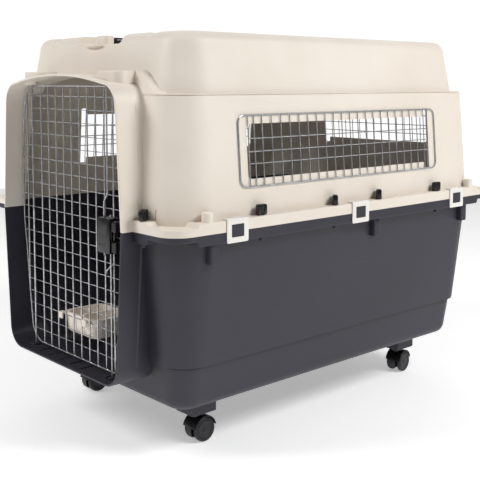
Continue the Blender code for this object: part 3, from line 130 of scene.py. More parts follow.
COLUMN_OFFSETS = (-0.3925, 0.0705, 0.3975)
COLUMN_HALF = 0.0105
COLUMN_X = (0.286, 0.336)
COLUMN_Z = (0.390, 0.438)
CLIP_OFFSETS = (-0.348, 0.0, 0.348)
LUG_HALF = 0.0145
LUG_X = (0.341, 0.3475)
LUG_Z = (0.441, 0.4625)
CLIP_WINDOW_HALF = 0.0155
CLIP_WINDOW_Z = (0.4395, 0.464)
SIDE_NUT_X = 0.3375
SIDE_NUTS = ((-0.2795, 0), (-0.0705, 45), (0.0705, 45), (0.2795, 0))
FRONT_NUT_X = 0.2475
FRONT_NUT_Y = -0.477
FRONT_NUT_TURN = 26
DOOR_Y = -0.472
DOOR_COLUMNS = (-0.186, *(-0.126 + 0.030 * step for step in range(11)))
DOOR_ROWS = tuple(0.695 - 0.0267 * step for step in range(20))
DOOR_OUTLINE = ((0.716, 0.162), (0.702, 0.187), (0.690, 0.194), (0.667, 0.199), (0.585, 0.207),
                (0.425, 0.206), (0.370, 0.197), (0.264, 0.185), (0.188, 0.175), (0.174, 0.165),
                (0.161, 0.146))
HINGE_X = -0.156
HINGE_ROD_Y = -0.4758
LATCH_ROD_Y = -0.4782
UPPER_ROD_X = 0.133
LOWER_ROD_X = 0.143
BOWL_HOOK_ROW = 17
HANDLE_FRONT_Y = -0.3792
HANDLE_BACK_Y = -0.2492
CASTER_X = 0.195
CASTER_OFFSET = 0.325
CASTER_TRAIL = 0.009
REAR_CASTER_TURN = 9
CASTER_SOCKET_HALF_X = 0.028
CASTER_SOCKET_HALF_Y = 0.031
CASTER_SOCKET_Z = (0.062, 0.125)
WHEEL_X = 0.0138


def linear(code):
    """Turn a hex sRGB colour into the linear values that shaders use."""
    parts = [int(code[index:index + 2], 16) / 255 for index in (1, 3, 5)]
    return (*(c / 12.92 if c <= 0.04045 else ((c + 0.055) / 1.055) ** 2.4 for c in parts), 1.0)


# Finishes
def new_finish(name):
    """An empty node material and its shader, output linked."""
    material = bpy.data.materials.new(name)
    material.use_nodes = True
    tree = material.node_tree
    return material, tree, tree.nodes["Principled BSDF"]


def add_node(tree, kind, settings=None, **sockets):
    """Add a node, set its properties and fill its sockets with values or links."""
    node = tree.nodes.new(kind)
    for key, value in (settings or {}).items():
        setattr(node, key, value)
    for key, value in sockets.items():
        numbered = key[0] == "i" and key[1:].isdigit()
        socket = node.inputs[int(key[1:]) if numbered else key]
        if isinstance(value, bpy.types.NodeSocket):
            tree.links.new(value, socket)
        else:
            socket.default_value = value
    return node


def moulded_plastic(name, light, dark, roughness, grain=0.0022, relief=0.00005, scuff=0.0):
    """Injection-moulded polypropylene: an even colour with faint clouding and a spark-eroded grain.

    The real grain is about 0.4 mm; it is drawn coarser so that it shows.
    """
    material, tree, shader = new_finish(name)
    place = add_node(tree, "ShaderNodeTexCoord").outputs["Object"]
    clouds = add_node(tree, "ShaderNodeTexNoise", Vector=place, Scale=3.5, Detail=3.0,
                      Roughness=0.55)
    fine = add_node(tree, "ShaderNodeTexNoise", Vector=place, Scale=1 / grain, Detail=2.0,
                    Roughness=0.6)
    stretch = add_node(tree, "ShaderNodeMapping", Vector=place, Scale=(1.0, 0.12, 2.6))
    streaks = add_node(tree, "ShaderNodeTexNoise", Vector=stretch.outputs[0], Scale=55.0,
                       Detail=4.0, Roughness=0.7)
    marks = add_node(tree, "ShaderNodeMapRange", i0=streaks.outputs[0], i1=0.62, i2=0.80,
                     i3=0.0, i4=scuff)
    tone = add_node(tree, "ShaderNodeMapRange", i0=clouds.outputs[0], i1=0.30, i2=0.70)
    base = add_node(tree, "ShaderNodeMix", {"data_type": "RGBA"}, i0=tone.outputs[0], i6=dark,
                    i7=light)
    worn = add_node(tree, "ShaderNodeMix", {"data_type": "RGBA", "blend_type": "SCREEN"},
                    i0=marks.outputs[0], i6=base.outputs[2], i7=(0.30, 0.30, 0.31, 1.0))
    tree.links.new(worn.outputs[2], shader.inputs["Base Color"])
    gloss = add_node(tree, "ShaderNodeMapRange", i0=fine.outputs[0], i1=0.25, i2=0.75,
                     i3=roughness - 0.06, i4=roughness + 0.07)
    tree.links.new(gloss.outputs[0], shader.inputs["Roughness"])
    bump = add_node(tree, "ShaderNodeBump", Height=fine.outputs[0], Strength=0.55, Distance=relief)
    tree.links.new(bump.outputs[0], shader.inputs["Normal"])
    shader.inputs["IOR"].default_value = 1.49
    return material


def galvanised_wire(name, light, dark, roughness):
    """Bright zinc-plated steel wire: mostly metallic, faintly mottled, drawn along its length."""
    material, tree, shader = new_finish(name)
    place = add_node(tree, "ShaderNodeTexCoord").outputs["Object"]
    mottle = add_node(tree, "ShaderNodeTexNoise", Vector=place, Scale=140.0, Detail=3.0,
                      Roughness=0.6)
    tone = add_node(tree, "ShaderNodeMapRange", i0=mottle.outputs[0], i1=0.30, i2=0.72)
    base = add_node(tree, "ShaderNodeMix", {"data_type": "RGBA"}, i0=tone.outputs[0], i6=dark,
                    i7=light)
    tree.links.new(base.outputs[2], shader.inputs["Base Color"])
    gloss = add_node(tree, "ShaderNodeMapRange", i0=mottle.outputs[0], i1=0.25, i2=0.75,
                     i3=roughness + 0.08, i4=roughness - 0.06)
    tree.links.new(gloss.outputs[0], shader.inputs["Roughness"])
    drawn = add_node(tree, "ShaderNodeTexNoise", Vector=place, Scale=900.0, Detail=1.0)
    bump = add_node(tree, "ShaderNodeBump", Height=drawn.outputs[0], Strength=0.25,
                    Distance=0.00005)
    tree.links.new(bump.outputs[0], shader.inputs["Normal"])
    shader.inputs["Metallic"].default_value = 0.6
    return material


# Each finish: how it is made, its name, the panel's colour, its darker tone, roughness and the rest
LOOKS = {
    # Polypropylene from a spark-eroded mould: a soft, even sheen
    "cream": (moulded_plastic, "moulded_cream_polypropylene", "cream", "#E3D9CC", 0.46, {}),
    # The same resin, its grain a little deeper, with faint pale scuffs on the dark face
    "grey": (moulded_plastic, "moulded_slate_polypropylene", "slate", "#2A2833", 0.50,
             {"relief": 0.00008, "scuff": 0.05}),
    # Moulded nylon: nearly black, with tight highlights on its small edges
    "black": (moulded_plastic, "moulded_black_nylon", "black", "#050506", 0.27,
              {"grain": 0.0016, "relief": 0.00006, "scuff": 0.02}),
    # Moulded ABS: smooth and a little glossier than the shells
    "white": (moulded_plastic, "moulded_white_abs", "clip", "#E6E3DC", 0.34,
              {"grain": 0.0016, "relief": 0.00003}),
    # Moulded nylon that runs on the floor: matt and scuffed
    "wheel": (moulded_plastic, "moulded_charcoal_nylon", "wheel", "#18181C", 0.48,
              {"grain": 0.0014, "relief": 0.00006, "scuff": 0.10}),
    # Zinc-plated wire: bright, its highlights broken up along its length
    "wire": (galvanised_wire, "zinc_plated_steel_wire", "wire", "#9C9DA1", 0.20, {}),
}
FINISHES = {}


def finish(name):
    """One of the crate's materials, made when the first piece asks for it."""
    if name not in FINISHES:
        make, title, colour, dark, roughness, rest = LOOKS[name]
        light = getattr(bpy.context.scene.crate_colours, colour)[:]
        FINISHES[name] = make(title, light, linear(dark), roughness, **rest)
    return FINISHES[name]


# Shaping
def rounded_block(half_x, half_y, z_range, corner, segments, mid=(0.0, MID_Y)):
    """Upright block with rounded vertical edges."""
    bm = bmesh.new()
    bmesh.ops.create_cube(bm, size=1.0)
    low, high = z_range
    bmesh.ops.scale(bm, verts=bm.verts, vec=(half_x * 2, half_y * 2, high - low))
    bmesh.ops.translate(bm, verts=bm.verts, vec=(mid[0], mid[1], (low + high) / 2))
    round_edges(bm, edges_along(bm, "z"), corner, segments)
    return bm


def edges_along(bm, axis):
    """Edges of a block that run along one axis."""
    way = "xyz".index(axis)
    return [e for e in bm.edges if abs(e.verts[0].co[way] - e.verts[1].co[way]) > 0.001]


def square_edges(bm):
    """Edges where two faces still meet at about a right angle."""
    return [e for e in bm.edges if e.calc_face_angle() > 1.2]


def round_edges(bm, edges, width, segments=3):
    """Round the edges given to about the width."""
    bmesh.ops.bevel(bm, geom=edges, offset=width, segments=segments, profile=0.5, affect="EDGES",
                    material=-1, clamp_overlap=True)


def box(x_range, y_range, z_range, edge=0.0, segments=2):
    """Plain or edge-rounded box between two corners."""
    bm = bmesh.new()
    bmesh.ops.create_cube(bm, size=1.0)
    spans = [sorted(pair) for pair in (x_range, y_range, z_range)]
    bmesh.ops.scale(bm, verts=bm.verts, vec=[high - low for low, high in spans])
    bmesh.ops.translate(bm, verts=bm.verts, vec=[(low + high) / 2 for low, high in spans])
    if edge:
        round_edges(bm, bm.edges[:], edge, segments)
    return bm


def rod(start, end, radius, steps=24, edge=0.0):
    """Round bar between two points, its rims rounded if asked."""
    start, end = Vector(start), Vector(end)
    along = end - start
    place = (Matrix.Translation((start + end) / 2)
             @ along.to_track_quat("Z", "Y").to_matrix().to_4x4())
    bm = bmesh.new()
    bmesh.ops.create_cone(bm, cap_ends=True, segments=steps, radius1=radius, radius2=radius,
                          depth=along.length)
    if edge:
        rims = [e for e in bm.edges
                if len(e.link_faces[0].verts) != len(e.link_faces[1].verts)]
        round_edges(bm, rims, edge, 3)
    bmesh.ops.transform(bm, matrix=place, verts=bm.verts)
    return bm


def slab(points, y_range):
    """Outline drawn in x and z, extruded along Y."""
    bm = bmesh.new()
    face = bm.faces.new([bm.verts.new((x, y_range[0], z)) for x, z in points])
    grown = bmesh.ops.extrude_face_region(bm, geom=[face])["geom"]
    moved = [item for item in grown if isinstance(item, bmesh.types.BMVert)]
    bmesh.ops.translate(bm, verts=moved, vec=(0.0, y_range[1] - y_range[0], 0.0))
    bmesh.ops.recalc_face_normals(bm, faces=bm.faces)
    return bm


def turned(bm, matrix):
    """Place a mesh by a matrix, its faces outwards again where the matrix mirrors it."""
    bmesh.ops.transform(bm, matrix=matrix, verts=bm.verts)
    bmesh.ops.recalc_face_normals(bm, faces=bm.faces)
    return bm


def spun(profile, place, steps=32):
    """Solid turned about Z from a (radius, height) profile that starts and ends on the axis."""
    bm = bmesh.new()
    verts = [bm.verts.new((radius, 0.0, height)) for radius, height in profile]
    edges = [bm.edges.new(pair) for pair in zip(verts, verts[1:])]
    bmesh.ops.spin(bm, geom=verts + edges, cent=(0, 0, 0), axis=(0, 0, 1), dvec=(0, 0, 0),
                   angle=math.tau, steps=steps, use_merge=True, use_duplicate=False)
    bmesh.ops.remove_doubles(bm, verts=bm.verts, dist=1e-6)
    return turned(bm, place)


def cut_planes(bm, axis, values):
    """Add edge loops where planes across one axis meet the mesh."""
    normal = Vector((axis == "x", axis == "y", axis == "z"))
    for value in values:
        bmesh.ops.bisect_plane(bm, geom=bm.verts[:] + bm.edges[:] + bm.faces[:], dist=1e-6,
                               plane_co=normal * value, plane_no=normal)


def push_walls(bm, half_x, half_y, corner, inset_at):
    """Move upright walls in along their own normals, by the inset at each height."""
    for vert in bm.verts:
        x, y = vert.co.x, vert.co.y - MID_Y
        centre = Vector((max(corner - half_x, min(half_x - corner, x)),
                         max(corner - half_y, min(half_y - corner, y))))
        out = Vector((x, y)) - centre
        if out.length > 1e-6:
            shift = out.normalized() * inset_at(vert.co.z)
            vert.co.x -= shift.x
            vert.co.y -= shift.y


def leaning_block(half_x, half_y, z_range, corner, inset_at, breaks=()):
    """Rounded block, cut at the breaks, whose walls lean in by the inset at each height."""
    bm = rounded_block(half_x, half_y, z_range, corner, 16)
    cut_planes(bm, "z", breaks)
    push_walls(bm, half_x, half_y, corner, inset_at)
    return bm


def level_edges(bm, z):
    """Edges of the outline at one height."""
    return [e for e in bm.edges if all(abs(v.co.z - z) < 1e-5 for v in e.verts)
            and len(e.link_faces) == 2 and e.calc_face_angle() > 0.3]


def ease(value, start, end):
    """Smooth rise from 0 at start to 1 at end."""
    share = max(0.0, min(1.0, (value - start) / (end - start)))
    return share * share * (3 - 2 * share)


def scratch_object(bm):
    """Turn a mesh being shaped into a passing object, for a modifier."""
    mesh = bpy.data.meshes.new("scratch")
    bm.to_mesh(mesh)
    bm.free()
    made = bpy.data.objects.new("scratch", mesh)
    bpy.context.scene.collection.objects.link(made)
    return made


def carve(base, steps):
    """Join (True) and cut (False) solids in turn, and return the result."""
    made = [scratch_object(base)]
    for tool, joins in steps:
        part = scratch_object(tool)
        modifier = made[0].modifiers.new("carve", "BOOLEAN")
        modifier.object = part
        modifier.operation = "UNION" if joins else "DIFFERENCE"
        modifier.solver = "EXACT"
        made.append(part)
    bpy.context.view_layer.update()
    graph = bpy.context.evaluated_depsgraph_get()
    mesh = bpy.data.meshes.new_from_object(made[0].evaluated_get(graph))
    result = bmesh.new()
    result.from_mesh(mesh)
    bpy.data.meshes.remove(mesh)
    for part in made:
        data = part.data
        bpy.data.objects.remove(part)
        bpy.data.meshes.remove(data)
    bmesh.ops.remove_doubles(result, verts=result.verts, dist=2e-6)
    return result


def piece(name, bm, look, body, replaces=(), smooth=32, flat_shading=False):
    """Finish a mesh as a piece of the crate that rides on a body and stands for CAD nodes."""
    mesh = bpy.data.meshes.new(name)
    bm.to_mesh(mesh)
    bm.free()
    mesh.shade_smooth()
    mesh.set_sharp_from_angle(angle=math.radians(smooth))
    mesh.materials.append(finish(look))
    made = bpy.data.objects.new(name, mesh)
    bpy.context.scene.collection.objects.link(made)
    if flat_shading:
        modifier = made.modifiers.new("Flat face shading", "WEIGHTED_NORMAL")
        modifier.keep_sharp = True
        modifier.weight = 90
    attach(made, body)
    if replaces:
        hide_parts(*replaces)
    return made


def zinc_plate(name):
    """Give a CAD node that stays in sight the wire's finish."""
    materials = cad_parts[name].data.materials
    materials.clear()
    materials.append(finish("wire"))


def wires(runs, sides=3):
    """Round wires as one mesh: each run is (points, radius, closed)."""
    curve = bpy.data.curves.new("scratch", "CURVE")
    curve.dimensions = "3D"
    curve.bevel_depth = 1.0
    curve.bevel_resolution = sides
    curve.use_fill_caps = True
    for points, radius, closed in runs:
        spline = curve.splines.new("POLY")
        spline.points.add(len(points) - 1)
        for point, place in zip(spline.points, points):
            point.co = (*place, 1.0)
            point.radius = radius
        spline.use_cyclic_u = closed
    holder = bpy.data.objects.new("scratch", curve)
    bpy.context.scene.collection.objects.link(holder)
    bpy.context.view_layer.update()
    graph = bpy.context.evaluated_depsgraph_get()
    mesh = bpy.data.meshes.new_from_object(holder.evaluated_get(graph))
    bpy.data.objects.remove(holder)
    bpy.data.curves.remove(curve)
    bm = bmesh.new()
    bm.from_mesh(mesh)
    bpy.data.meshes.remove(mesh)
    return bm


def bent(points, radius, closed=False, steps=5):
    """Polyline with its corners rounded, for a bent wire."""
    points = [Vector(point) for point in points]
    result = []
    count = len(points)
    for index, point in enumerate(points):
        if not closed and index in (0, count - 1):
            result.append(point)
            continue
        before, after = points[index - 1], points[(index + 1) % count]
        reach = min(radius, (before - point).length * 0.45, (after - point).length * 0.45)
        start = point + (before - point).normalized() * reach
        end = point + (after - point).normalized() * reach
        for step in range(steps + 1):
            share = step / steps
            result.append(start * (1 - share) ** 2 + point * 2 * share * (1 - share)
                          + end * share ** 2)
    return result


# Places on the crate
def wall_inset(z):
    """How far the outer wall face stands in from its line at the flange."""
    if z >= FLANGE_LOW_Z:
        return max(0.0, z - LEDGE_Z) * UPPER_SLOPE
    band = BAND_STEP if z <= BAND_Z + 1e-6 else 0.0
    groove = BAND_GROOVE if BAND_Z - 0.0025 < z <= BAND_Z + 1e-6 else 0.0
    return (FLANGE_LOW_Z - z) * LOWER_SLOPE + band + groove


# Heights where the lower wall's lean changes: round the groove under the band, and at the flange
LOWER_BREAKS = (BAND_Z - 0.003, BAND_Z - 0.002, BAND_Z, BAND_Z + 0.0008, FLANGE_LOW_Z)


def arc(centre, radius, start, end, steps):
    """Points of an arc from one angle to another, in degrees."""
    return [(centre[0] + radius * math.cos(math.radians(start + (end - start) * step / steps)),
             centre[1] + radius * math.sin(math.radians(start + (end - start) * step / steps)))
            for step in range(steps + 1)]


def tunnel_ceiling(x, inset=0.0):
    """Height of the doorway's flat arch at x."""
    return ARCH_FOOT_Z + ARCH_RISE * (1 - (x / ARCH_FOOT_X) ** 2) - inset


def upper_tunnel_outline(low_z, inset):
    """Doorway outline above the seam, or its inside when the inset is a wall."""
    narrows = (low_z - SEAM_Z) * UPPER_TUNNEL_NARROWS / UPPER_TUNNEL_RISE
    right = [(TUNNEL_SEAM_HALF - narrows - inset, low_z)]
    right += arc((ARCH_FOOT_X, 0.679), TUNNEL_CORNER - inset, 0, 90, 12)
    right += [(ARCH_FOOT_X * share, tunnel_ceiling(ARCH_FOOT_X * share, inset))
              for share in (0.8, 0.6, 0.4, 0.2)]
    return right + [(0.0, tunnel_ceiling(0.0, inset))] + [(-x, z) for x, z in reversed(right)]


def lower_tunnel_outline(high_z, inset):
    """Doorway outline below the seam, or its inside when the inset is a wall."""
    right = arc((0.163, 0.195), TUNNEL_CORNER - inset, -90, 0, 12)
    widens = (high_z - SEAM_Z) * LOWER_TUNNEL_NARROWS / LOWER_TUNNEL_RISE
    right.append((TUNNEL_SEAM_HALF + widens - inset, high_z))
    return right + [(-x, z) for x, z in reversed(right)]


def tunnel(outline, root_z_range):
    """Doorway tube with a rounded front rim that flares softly into the wall behind it."""
    bm = slab(outline, (FRONT_Y, FRONT_Y + TUNNEL_REACH))
    rim = [e for e in bm.edges if all(abs(v.co.y - FRONT_Y) < 1e-6 for v in e.verts)]
    round_edges(bm, rim, 0.0019, 3)
    cut_planes(bm, "y", [-0.480 + 0.0015 * step for step in range(44)])
    bm.normal_update()
    flare = 0.0045
    for vert, out in [(v, v.normal.copy()) for v in bm.verts]:
        z = vert.co.z
        ahead = MID_Y - BODY_HALF_Y + wall_inset(z) - vert.co.y
        depth = flare - max(0.0, min(flare, ahead))
        push = flare - math.sqrt(max(0.0, flare ** 2 - depth ** 2))
        fade = ease(z, root_z_range[0], root_z_range[1])
        if abs(out.y) < 0.5:
            vert.co.x += out.x * push * fade
            if abs(z - SEAM_Z) > 0.001:
                vert.co.z += out.z * push * fade
    return bm


def corner_dip(x, y):
    """1 in the corner stretches of the flange, where it is thinner."""
    return ease(abs(x), DIP_X, DIP_X + DIP_RUN) * ease(abs(y - MID_Y), DIP_Y, DIP_Y + DIP_RUN)


def flange(z_range, rounded_z, drop, lift):
    """Flange of one half shell, thinner round its corners."""
    bm = rounded_block(FLANGE_HALF_X, FLANGE_HALF_Y, z_range, FLANGE_CORNER, 12)
    round_edges(bm, level_edges(bm, rounded_z), 0.0022, 3)
    spans = [(side, DIP_RUN / 4 * step) for side in (-1, 1) for step in range(5)]
    cut_planes(bm, "x", [side * (DIP_X + run) for side, run in spans])
    cut_planes(bm, "y", [MID_Y + side * (DIP_Y + run) for side, run in spans])
    middle = sum(z_range) / 2
    for vert in bm.verts:
        dip = corner_dip(vert.co.x, vert.co.y)
        vert.co.z += dip * (-drop if vert.co.z > middle else lift)
    return bm


def rod_slot(x, z_range):
    """Cutter for the slot, open to the front, that a latch rod's end swings into."""
    return box((x - ROD_SLOT_HALF, x + ROD_SLOT_HALF), (-0.506, LATCH_ROD_Y + ROD_SLOT_HALF),
               z_range)


def side_places(offsets):
    """Side and y of what repeats along both sides, the left being the right turned half round."""
    for side in (1, -1):
        for offset in offsets:
            yield side, MID_Y + side * offset


def nut_places():
    """Name, position and rest angle of each wing nut."""
    places = []
    for side, label in ((1, "right"), (-1, "left")):
        for index, (offset, turn) in enumerate(SIDE_NUTS):
            places.append((f"{label}_{index + 1}", side * SIDE_NUT_X, MID_Y + offset,
                           90 + side * turn))
        places.append((f"front_{label}", side * FRONT_NUT_X, FRONT_NUT_Y,
                       90 + side * FRONT_NUT_TURN))
    return places


def caster_places():
    """Name, position of the stem and turn of each caster."""
    return [(f"{end_label}_{side_label}", side * CASTER_X, MID_Y + end * CASTER_OFFSET,
             math.radians(turn))
            for end, end_label, turn in ((-1, "front", 0), (1, "rear", REAR_CASTER_TURN))
            for side, side_label in ((1, "right"), (-1, "left"))]


class CrateSizes(bpy.types.PropertyGroup):
    """Sizes that a maker of such crates would vary without changing how it fits together."""
    body_corner: bpy.props.FloatProperty(
        name="Body corner", description="Radius of the shells' upright corners", default=0.090,
        unit="LENGTH")
    window_corner: bpy.props.FloatProperty(
        name="Window corner", description="Radius of the window openings' corners", default=0.010,
        unit="LENGTH")
    net_wire: bpy.props.FloatProperty(
        name="Net wire", description="Diameter of the window nets' wires", default=0.0023,
        unit="LENGTH")
    net_frame: bpy.props.FloatProperty(
        name="Net frame wire", description="Diameter of the wire round each net", default=0.0034,
        unit="LENGTH")
    net_pitch: bpy.props.FloatProperty(
        name="Net pitch", description="Spacing of the nets' uprights", default=0.0256,
        unit="LENGTH")
    door_upright: bpy.props.FloatProperty(
        name="Door upright", description="Diameter of the door's upright wires", default=0.0032,
        unit="LENGTH")
    door_row: bpy.props.FloatProperty(
        name="Door crosswire", description="Diameter of the door's crosswires", default=0.0018,
        unit="LENGTH")
    door_frame: bpy.props.FloatProperty(
        name="Door frame wire", description="Diameter of the wire round the door", default=0.0040,
        unit="LENGTH")
    wheel_radius: bpy.props.FloatProperty(
        name="Wheel radius", description="Radius of the caster wheels", default=0.025,
        unit="LENGTH")


class CrateColours(bpy.types.PropertyGroup):
    """Colours of the crate's finishes."""
    cream: bpy.props.FloatVectorProperty(
        name="Cream", description="Upper shell and bowl", subtype="COLOR", size=4, min=0, max=1,
        default=linear("#EDE4D9"))
    slate: bpy.props.FloatVectorProperty(
        name="Slate", description="Lower shell", subtype="COLOR", size=4, min=0, max=1,
        default=linear("#2F2D39"))
    black: bpy.props.FloatVectorProperty(
        name="Black", description="Wing nuts, latch, hoods and handle", subtype="COLOR", size=4,
        min=0, max=1, default=linear("#08080A"))
    clip: bpy.props.FloatVectorProperty(
        name="Clip white", description="Side clips", subtype="COLOR", size=4, min=0, max=1,
        default=linear("#F1EFEA"))
    wheel: bpy.props.FloatVectorProperty(
        name="Wheel", description="Caster wheels", subtype="COLOR", size=4, min=0, max=1,
        default=linear("#222228"))
    wire: bpy.props.FloatVectorProperty(
        name="Wire", description="Door and net wires", subtype="COLOR", size=4, min=0, max=1,
        default=linear("#D6D6D8"))


class CRATE_OT_stage(bpy.types.Operator):
    """Set the pale floor, the soft lights and the camera"""
    bl_idname = "crate.stage"
    bl_label = "Stage"
    # Name, place, target, size in metres and power in watts
    softboxes = (("key_softbox", (2.7, 0.9, 2.75), (0.0, 0.1, 0.45), 1.5, 84.0),
                 ("front_softbox", (-1.2, -2.9, 2.55), (0.0, 0.0, 0.55), 1.4, 70.0),
                 ("top_softbox", (0.2, 0.3, 3.4), (0.0, 0.0, 0.5), 2.6, 1.0))
    backdrop_direction = (-0.745, 0.667, 0.0)

    def execute(self, context):
        scene = context.scene
        bm = bmesh.new()
        bmesh.ops.create_circle(bm, cap_ends=True, segments=128, radius=4.2)
        mesh = bpy.data.meshes.new("studio_floor")
        bm.to_mesh(mesh)
        bm.free()
        floor = bpy.data.objects.new("studio_floor", mesh)
        scene.collection.objects.link(floor)
        paint, _tree, shader = new_finish("studio_white")
        shader.inputs["Base Color"].default_value = linear("#FAFAFA")
        shader.inputs["Roughness"].default_value = 0.9
        shader.inputs["Emission Color"].default_value = linear("#FFFFFF")
        shader.inputs["Emission Strength"].default_value = 0.36
        mesh.materials.append(paint)
        world = bpy.data.worlds.new("studio_sky")
        world.use_nodes = True
        sky = world.node_tree.nodes["Background"]
        sky.inputs[0].default_value = linear("#FFFFFF")
        # The sky is white behind the crate alone, so that the sides keep their shading
        outwards = add_node(world.node_tree, "ShaderNodeTexCoord").outputs["Generated"]
        along = add_node(world.node_tree, "ShaderNodeVectorMath", {"operation": "DOT_PRODUCT"},
                         i0=outwards, i1=self.backdrop_direction).outputs["Value"]
        glow = add_node(world.node_tree, "ShaderNodeMapRange", {"interpolation_type": "SMOOTHSTEP"},
                        i0=along, i1=0.45, i2=0.88, i3=0.16, i4=1.05)
        world.node_tree.links.new(glow.outputs[0], sky.inputs[1])
        scene.world = world
        for name, place, target, size, power in self.softboxes:
            lamp = bpy.data.lights.new(name, "AREA")
            lamp.shape = "DISK"
            lamp.size = size
            lamp.energy = power
            holder = bpy.data.objects.new(name, lamp)
            holder.location = place
            towards = Vector(target) - Vector(place)
            holder.rotation_euler = towards.to_track_quat("-Z", "Y").to_euler()
            scene.collection.objects.link(holder)
        camera = bpy.data.cameras.new("catalogue_camera")
        camera.lens = 65.685
        camera.sensor_width = 36.0
        camera.shift_x = 0.0121
        camera.shift_y = -0.18
        holder = bpy.data.objects.new("catalogue_camera", camera)
        holder.location = (1.5337, -1.4027, 0.7222)
        holder.rotation_euler = (math.radians(90 - 4.615), 0.0, math.radians(48.281))
        scene.collection.objects.link(holder)
        scene.camera = holder
        scene.view_settings.view_transform = "Standard"
        return {"FINISHED"}


class CRATE_OT_lower_shell(bpy.types.Operator):
    """Mould the slate lower half shell"""
    bl_idname = "crate.lower_shell"
    bl_label = "Lower shell"

    def execute(self, context):
        corner = context.scene.crate_sizes.body_corner
        body = leaning_block(BODY_HALF_X, BODY_HALF_Y, (BASE_Z, SEAM_Z), corner, wall_inset,
                             LOWER_BREAKS)
        round_edges(body, level_edges(body, BASE_Z), BASE_EDGE, 6)
        steps = [(flange((FLANGE_LOW_Z, SEAM_Z), FLANGE_LOW_Z, 0.0, 0.0095), True),
                 (tunnel(lower_tunnel_outline(SEAM_Z, 0.0), (0.170, 0.270)), True)]
        for side, y in side_places(COLUMN_OFFSETS):
            steps.append((box([side * x for x in COLUMN_X], (y - COLUMN_HALF, y + COLUMN_HALF),
                              COLUMN_Z, 0.004, 3), True))
        for side, y in side_places(CLIP_OFFSETS):
            steps.append((box([side * x for x in LUG_X], (y - LUG_HALF, y + LUG_HALF),
                              LUG_Z, 0.0007), True))
        # Small nubs under the flange, one below each wing nut
        for _name, x, y, _turn in nut_places():
            steps.append((rod((x, y, 0.423), (x, y, 0.447), 0.005, 16, 0.0016), True))
        for _name, x, y, _turn in caster_places():
            steps.append((box((x - CASTER_SOCKET_HALF_X, x + CASTER_SOCKET_HALF_X),
                              (y - CASTER_SOCKET_HALF_Y, y + CASTER_SOCKET_HALF_Y),
                              CASTER_SOCKET_Z, 0.003, 2), True))
        cavity = leaning_block(BODY_HALF_X - WALL, BODY_HALF_Y - WALL, (BASE_Z + WALL, 0.480),
                               corner - WALL, wall_inset, LOWER_BREAKS)
        round_edges(cavity, level_edges(cavity, BASE_Z + WALL), BASE_EDGE - WALL, 6)
        passage = slab(lower_tunnel_outline(LEDGE_Z, WALL),
                       (FRONT_Y - WALL, FRONT_Y + TUNNEL_REACH + WALL))
        steps += [(cavity, False), (passage, False)]
        # Socket pads and low ribs on the doorway's sill
        floor_z = TUNNEL_FLOOR_Z + WALL
        for x, y in ((HINGE_X, HINGE_ROD_Y), (LOWER_ROD_X, LATCH_ROD_Y)):
            steps.append((rod((x, y, floor_z - 0.002), (x, y, floor_z + WALL),
                              SOCKET_PAD_RADIUS, 32, 0.0012), True))
        for step in range(5):
            x = HINGE_X + 0.052 + step * 0.040
            steps.append((rod((x, DOOR_Y - 0.026, floor_z), (x, DOOR_Y + 0.010, floor_z),
                              0.0025, 16), True))
        steps.append((rod_slot(LOWER_ROD_X, (floor_z, floor_z + 0.010)), False))
        piece("lower_shell_moulded", carve(body, steps), "grey", "crate", ["lower_shell"],
              flat_shading=True)
        return {"FINISHED"}


